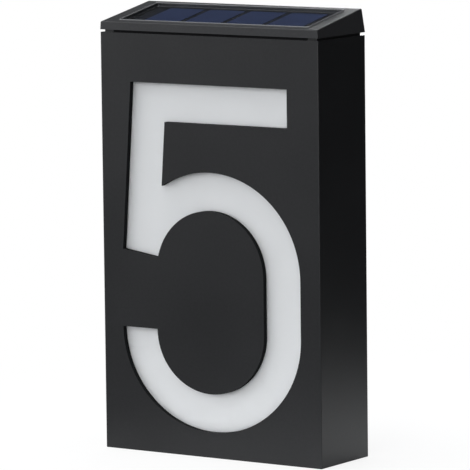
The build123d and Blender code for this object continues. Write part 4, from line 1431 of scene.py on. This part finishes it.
@dataclass(frozen=True)
class Capacitor:
    """The board's capacitor: a beaded sleeve and a scored aluminium top. Millimetres."""

    room: Room = field(default_factory=lambda: Room.of("smoothing_capacitor"))
    sleeve: Profile = (
        (0.0, 0.0), (0.0, 2.3), (0.2, 2.5), (0.9, 2.5), (1.15, 2.25), (1.4, 2.5),
        (5.6, 2.5), (5.88, 2.35), (5.95, 2.1), (5.85, 1.95), (5.7, 1.9), (5.7, 0.0),
    )
    top_rise: float = 5.68         # from the board to the underside of the top
    top_thickness: float = 0.2
    top_radius: float = 1.8
    score: float = 0.08            # from the axis to each quarter of the scored top
    quarter_steps: int = 8

    def build(self) -> None:
        """Makes the sleeve and the four quarters of the top."""
        sleeve, top = Shape(), Shape()
        sleeve.turned(self.room.foot, Way.FORWARD, self.sleeve)
        level = self.room.foot - Vector((0.0, self.top_rise, 0.0))
        for quarter in range(4):
            start = quarter * math.pi / 2
            corner = level + self._spoke(start + math.pi / 4) * self.score
            turns = [start + math.pi / 2 * step / self.quarter_steps
                     for step in range(self.quarter_steps + 1)]
            arc = [corner + self._spoke(turn) * self.top_radius for turn in turns]
            top.slab([corner, *arc], Vector((0.0, -self.top_thickness, 0.0)))
        sleeve.piece(
            "capacitor_sleeve", BLUE_SLEEVE.build(), "capacitor_can", ("smoothing_capacitor",)
        )
        top.piece("capacitor_top", ALUMINIUM.build(), "capacitor_can", ("smoothing_capacitor",))

    @staticmethod
    def _spoke(turn: float) -> Vector:
        """One step out from the axis at an angle to the right."""
        return Vector((math.cos(turn), 0.0, math.sin(turn)))


@dataclass(frozen=True)
class BatteryCell:
    """Cell in its well: can with its cap, shrink sleeve and insulating washer. Millimetres."""

    room: Room = field(default_factory=lambda: Room.of("battery_cell"))
    nub_height: float = 1.2

    @property
    def end(self) -> float:
        """X of the can's end, at the foot of the nub."""
        return self.room.high.x - self.nub_height

    def build(self, nickel: bpy.types.Material) -> None:
        """Makes the can, the sleeve and the washer.

        Args:
            nickel: Finish of the can.
        """
        self._make(self._can(), "cell_can", nickel)
        self._make(self._sleeve(), "cell_sleeve", CellSleeve("cell_sleeve", self.end * MM).build())
        self._make(self._washer(), "cell_washer", CARD.build())

    def _make(self, profile: Profile, name: str, material: bpy.types.Material) -> None:
        """Makes one turned piece of the cell.

        Args:
            profile: Pairs of X and radius.
            name: The piece's name.
            material: Its finish.
        """
        shape = Shape()
        shape.turned((0.0, self.room.middle.y, self.room.middle.z), Way.RIGHT, profile)
        shape.piece(name, material, "cell_sleeve", ("battery_cell",))

    def _can(self) -> Profile:
        """Profile of the can with its crimped shoulder and cap.

        Returns:
            Pairs of X and radius.
        """
        start, end, nub = self.room.low.x, self.end, self.room.high.x
        return (
            (start, 0.0), (start, 5.3), (start + 0.12, 5.6), (start + 0.12, 6.9), (end - 0.5, 6.9),
            (end - 0.35, 6.5), (end - 0.35, 5.9), (end - 0.75, 5.6), (end - 0.75, 3.1),
            (end - 0.55, 2.75), (nub - 0.25, 2.75), (nub - 0.06, 2.66), (nub, 2.45), (nub, 0.0),
        )

    def _sleeve(self) -> Profile:
        """Profile of the sleeve, shrunk over both ends of the can.

        Returns:
            Pairs of X and radius.
        """
        start, end = self.room.low.x, self.end
        return (
            (start + 0.08, 6.0), (start + 0.02, 6.15), (start + 0.02, 6.6), (start + 0.22, 7.0),
            (start + 0.8, 7.25), (end - 0.8, 7.25), (end - 0.22, 7.0), (end - 0.02, 6.6),
            (end - 0.02, 6.1), (end - 0.3, 5.95), (end - 0.33, 6.5), (end - 0.48, 6.92),
            (start + 0.13, 6.92), (start + 0.13, 6.0), (start + 0.08, 6.0),
        )

    def _washer(self) -> Profile:
        """Profile of the washer round the cap.

        Returns:
            Pairs of X and radius.
        """
        low, high = self.end - 0.72, self.end - 0.5
        return ((low, 3.0), (high, 3.0), (high, 5.55), (low, 5.55), (low, 3.0))


@dataclass(frozen=True)
class Electronics:
    """Board, coil, capacitor, cell, switch and leads behind the light box."""

    board: ControlBoard = field(default_factory=ControlBoard)
    coil: Coil = field(default_factory=Coil)
    capacitor: Capacitor = field(default_factory=Capacitor)
    cell: BatteryCell = field(default_factory=BatteryCell)

    def build(self) -> None:
        """Dresses the electronics and makes the small parts."""
        nickel, epoxy = NICKEL.build(), CHIP_EPOXY.build()
        dress(["battery_spring", "battery_contacts", "switch_housing"], nickel)
        dress(["control_board"], BOARD_MASK.build())
        dress(["control_chip"], epoxy)
        dress(["switch_lever"], NYLON.build())
        border = Room.of("solar_leads").middle.x * MM
        dress(["solar_leads"], PairedInsulation("solar_leads", border).build())
        dress(["battery_leads"], PairedInsulation("cell_leads").build())
        self.board.build(epoxy, replace(SOLDER, name="board_solder").build())
        self.coil.build()
        self.capacitor.build()
        self.cell.build(nickel)


def main() -> None:
    """Builds the sign, the studio and the camera."""
    logging.basicConfig(level=logging.INFO, format="%(message)s")
    PhotographCamera().build()
    Studio().build()
    for assembly in (Housing(), SolarModule(), LightBox(), Electronics()):
        log.info("building %s", type(assembly).__name__)
        assembly.build()


if __name__ == "__main__":
    main()
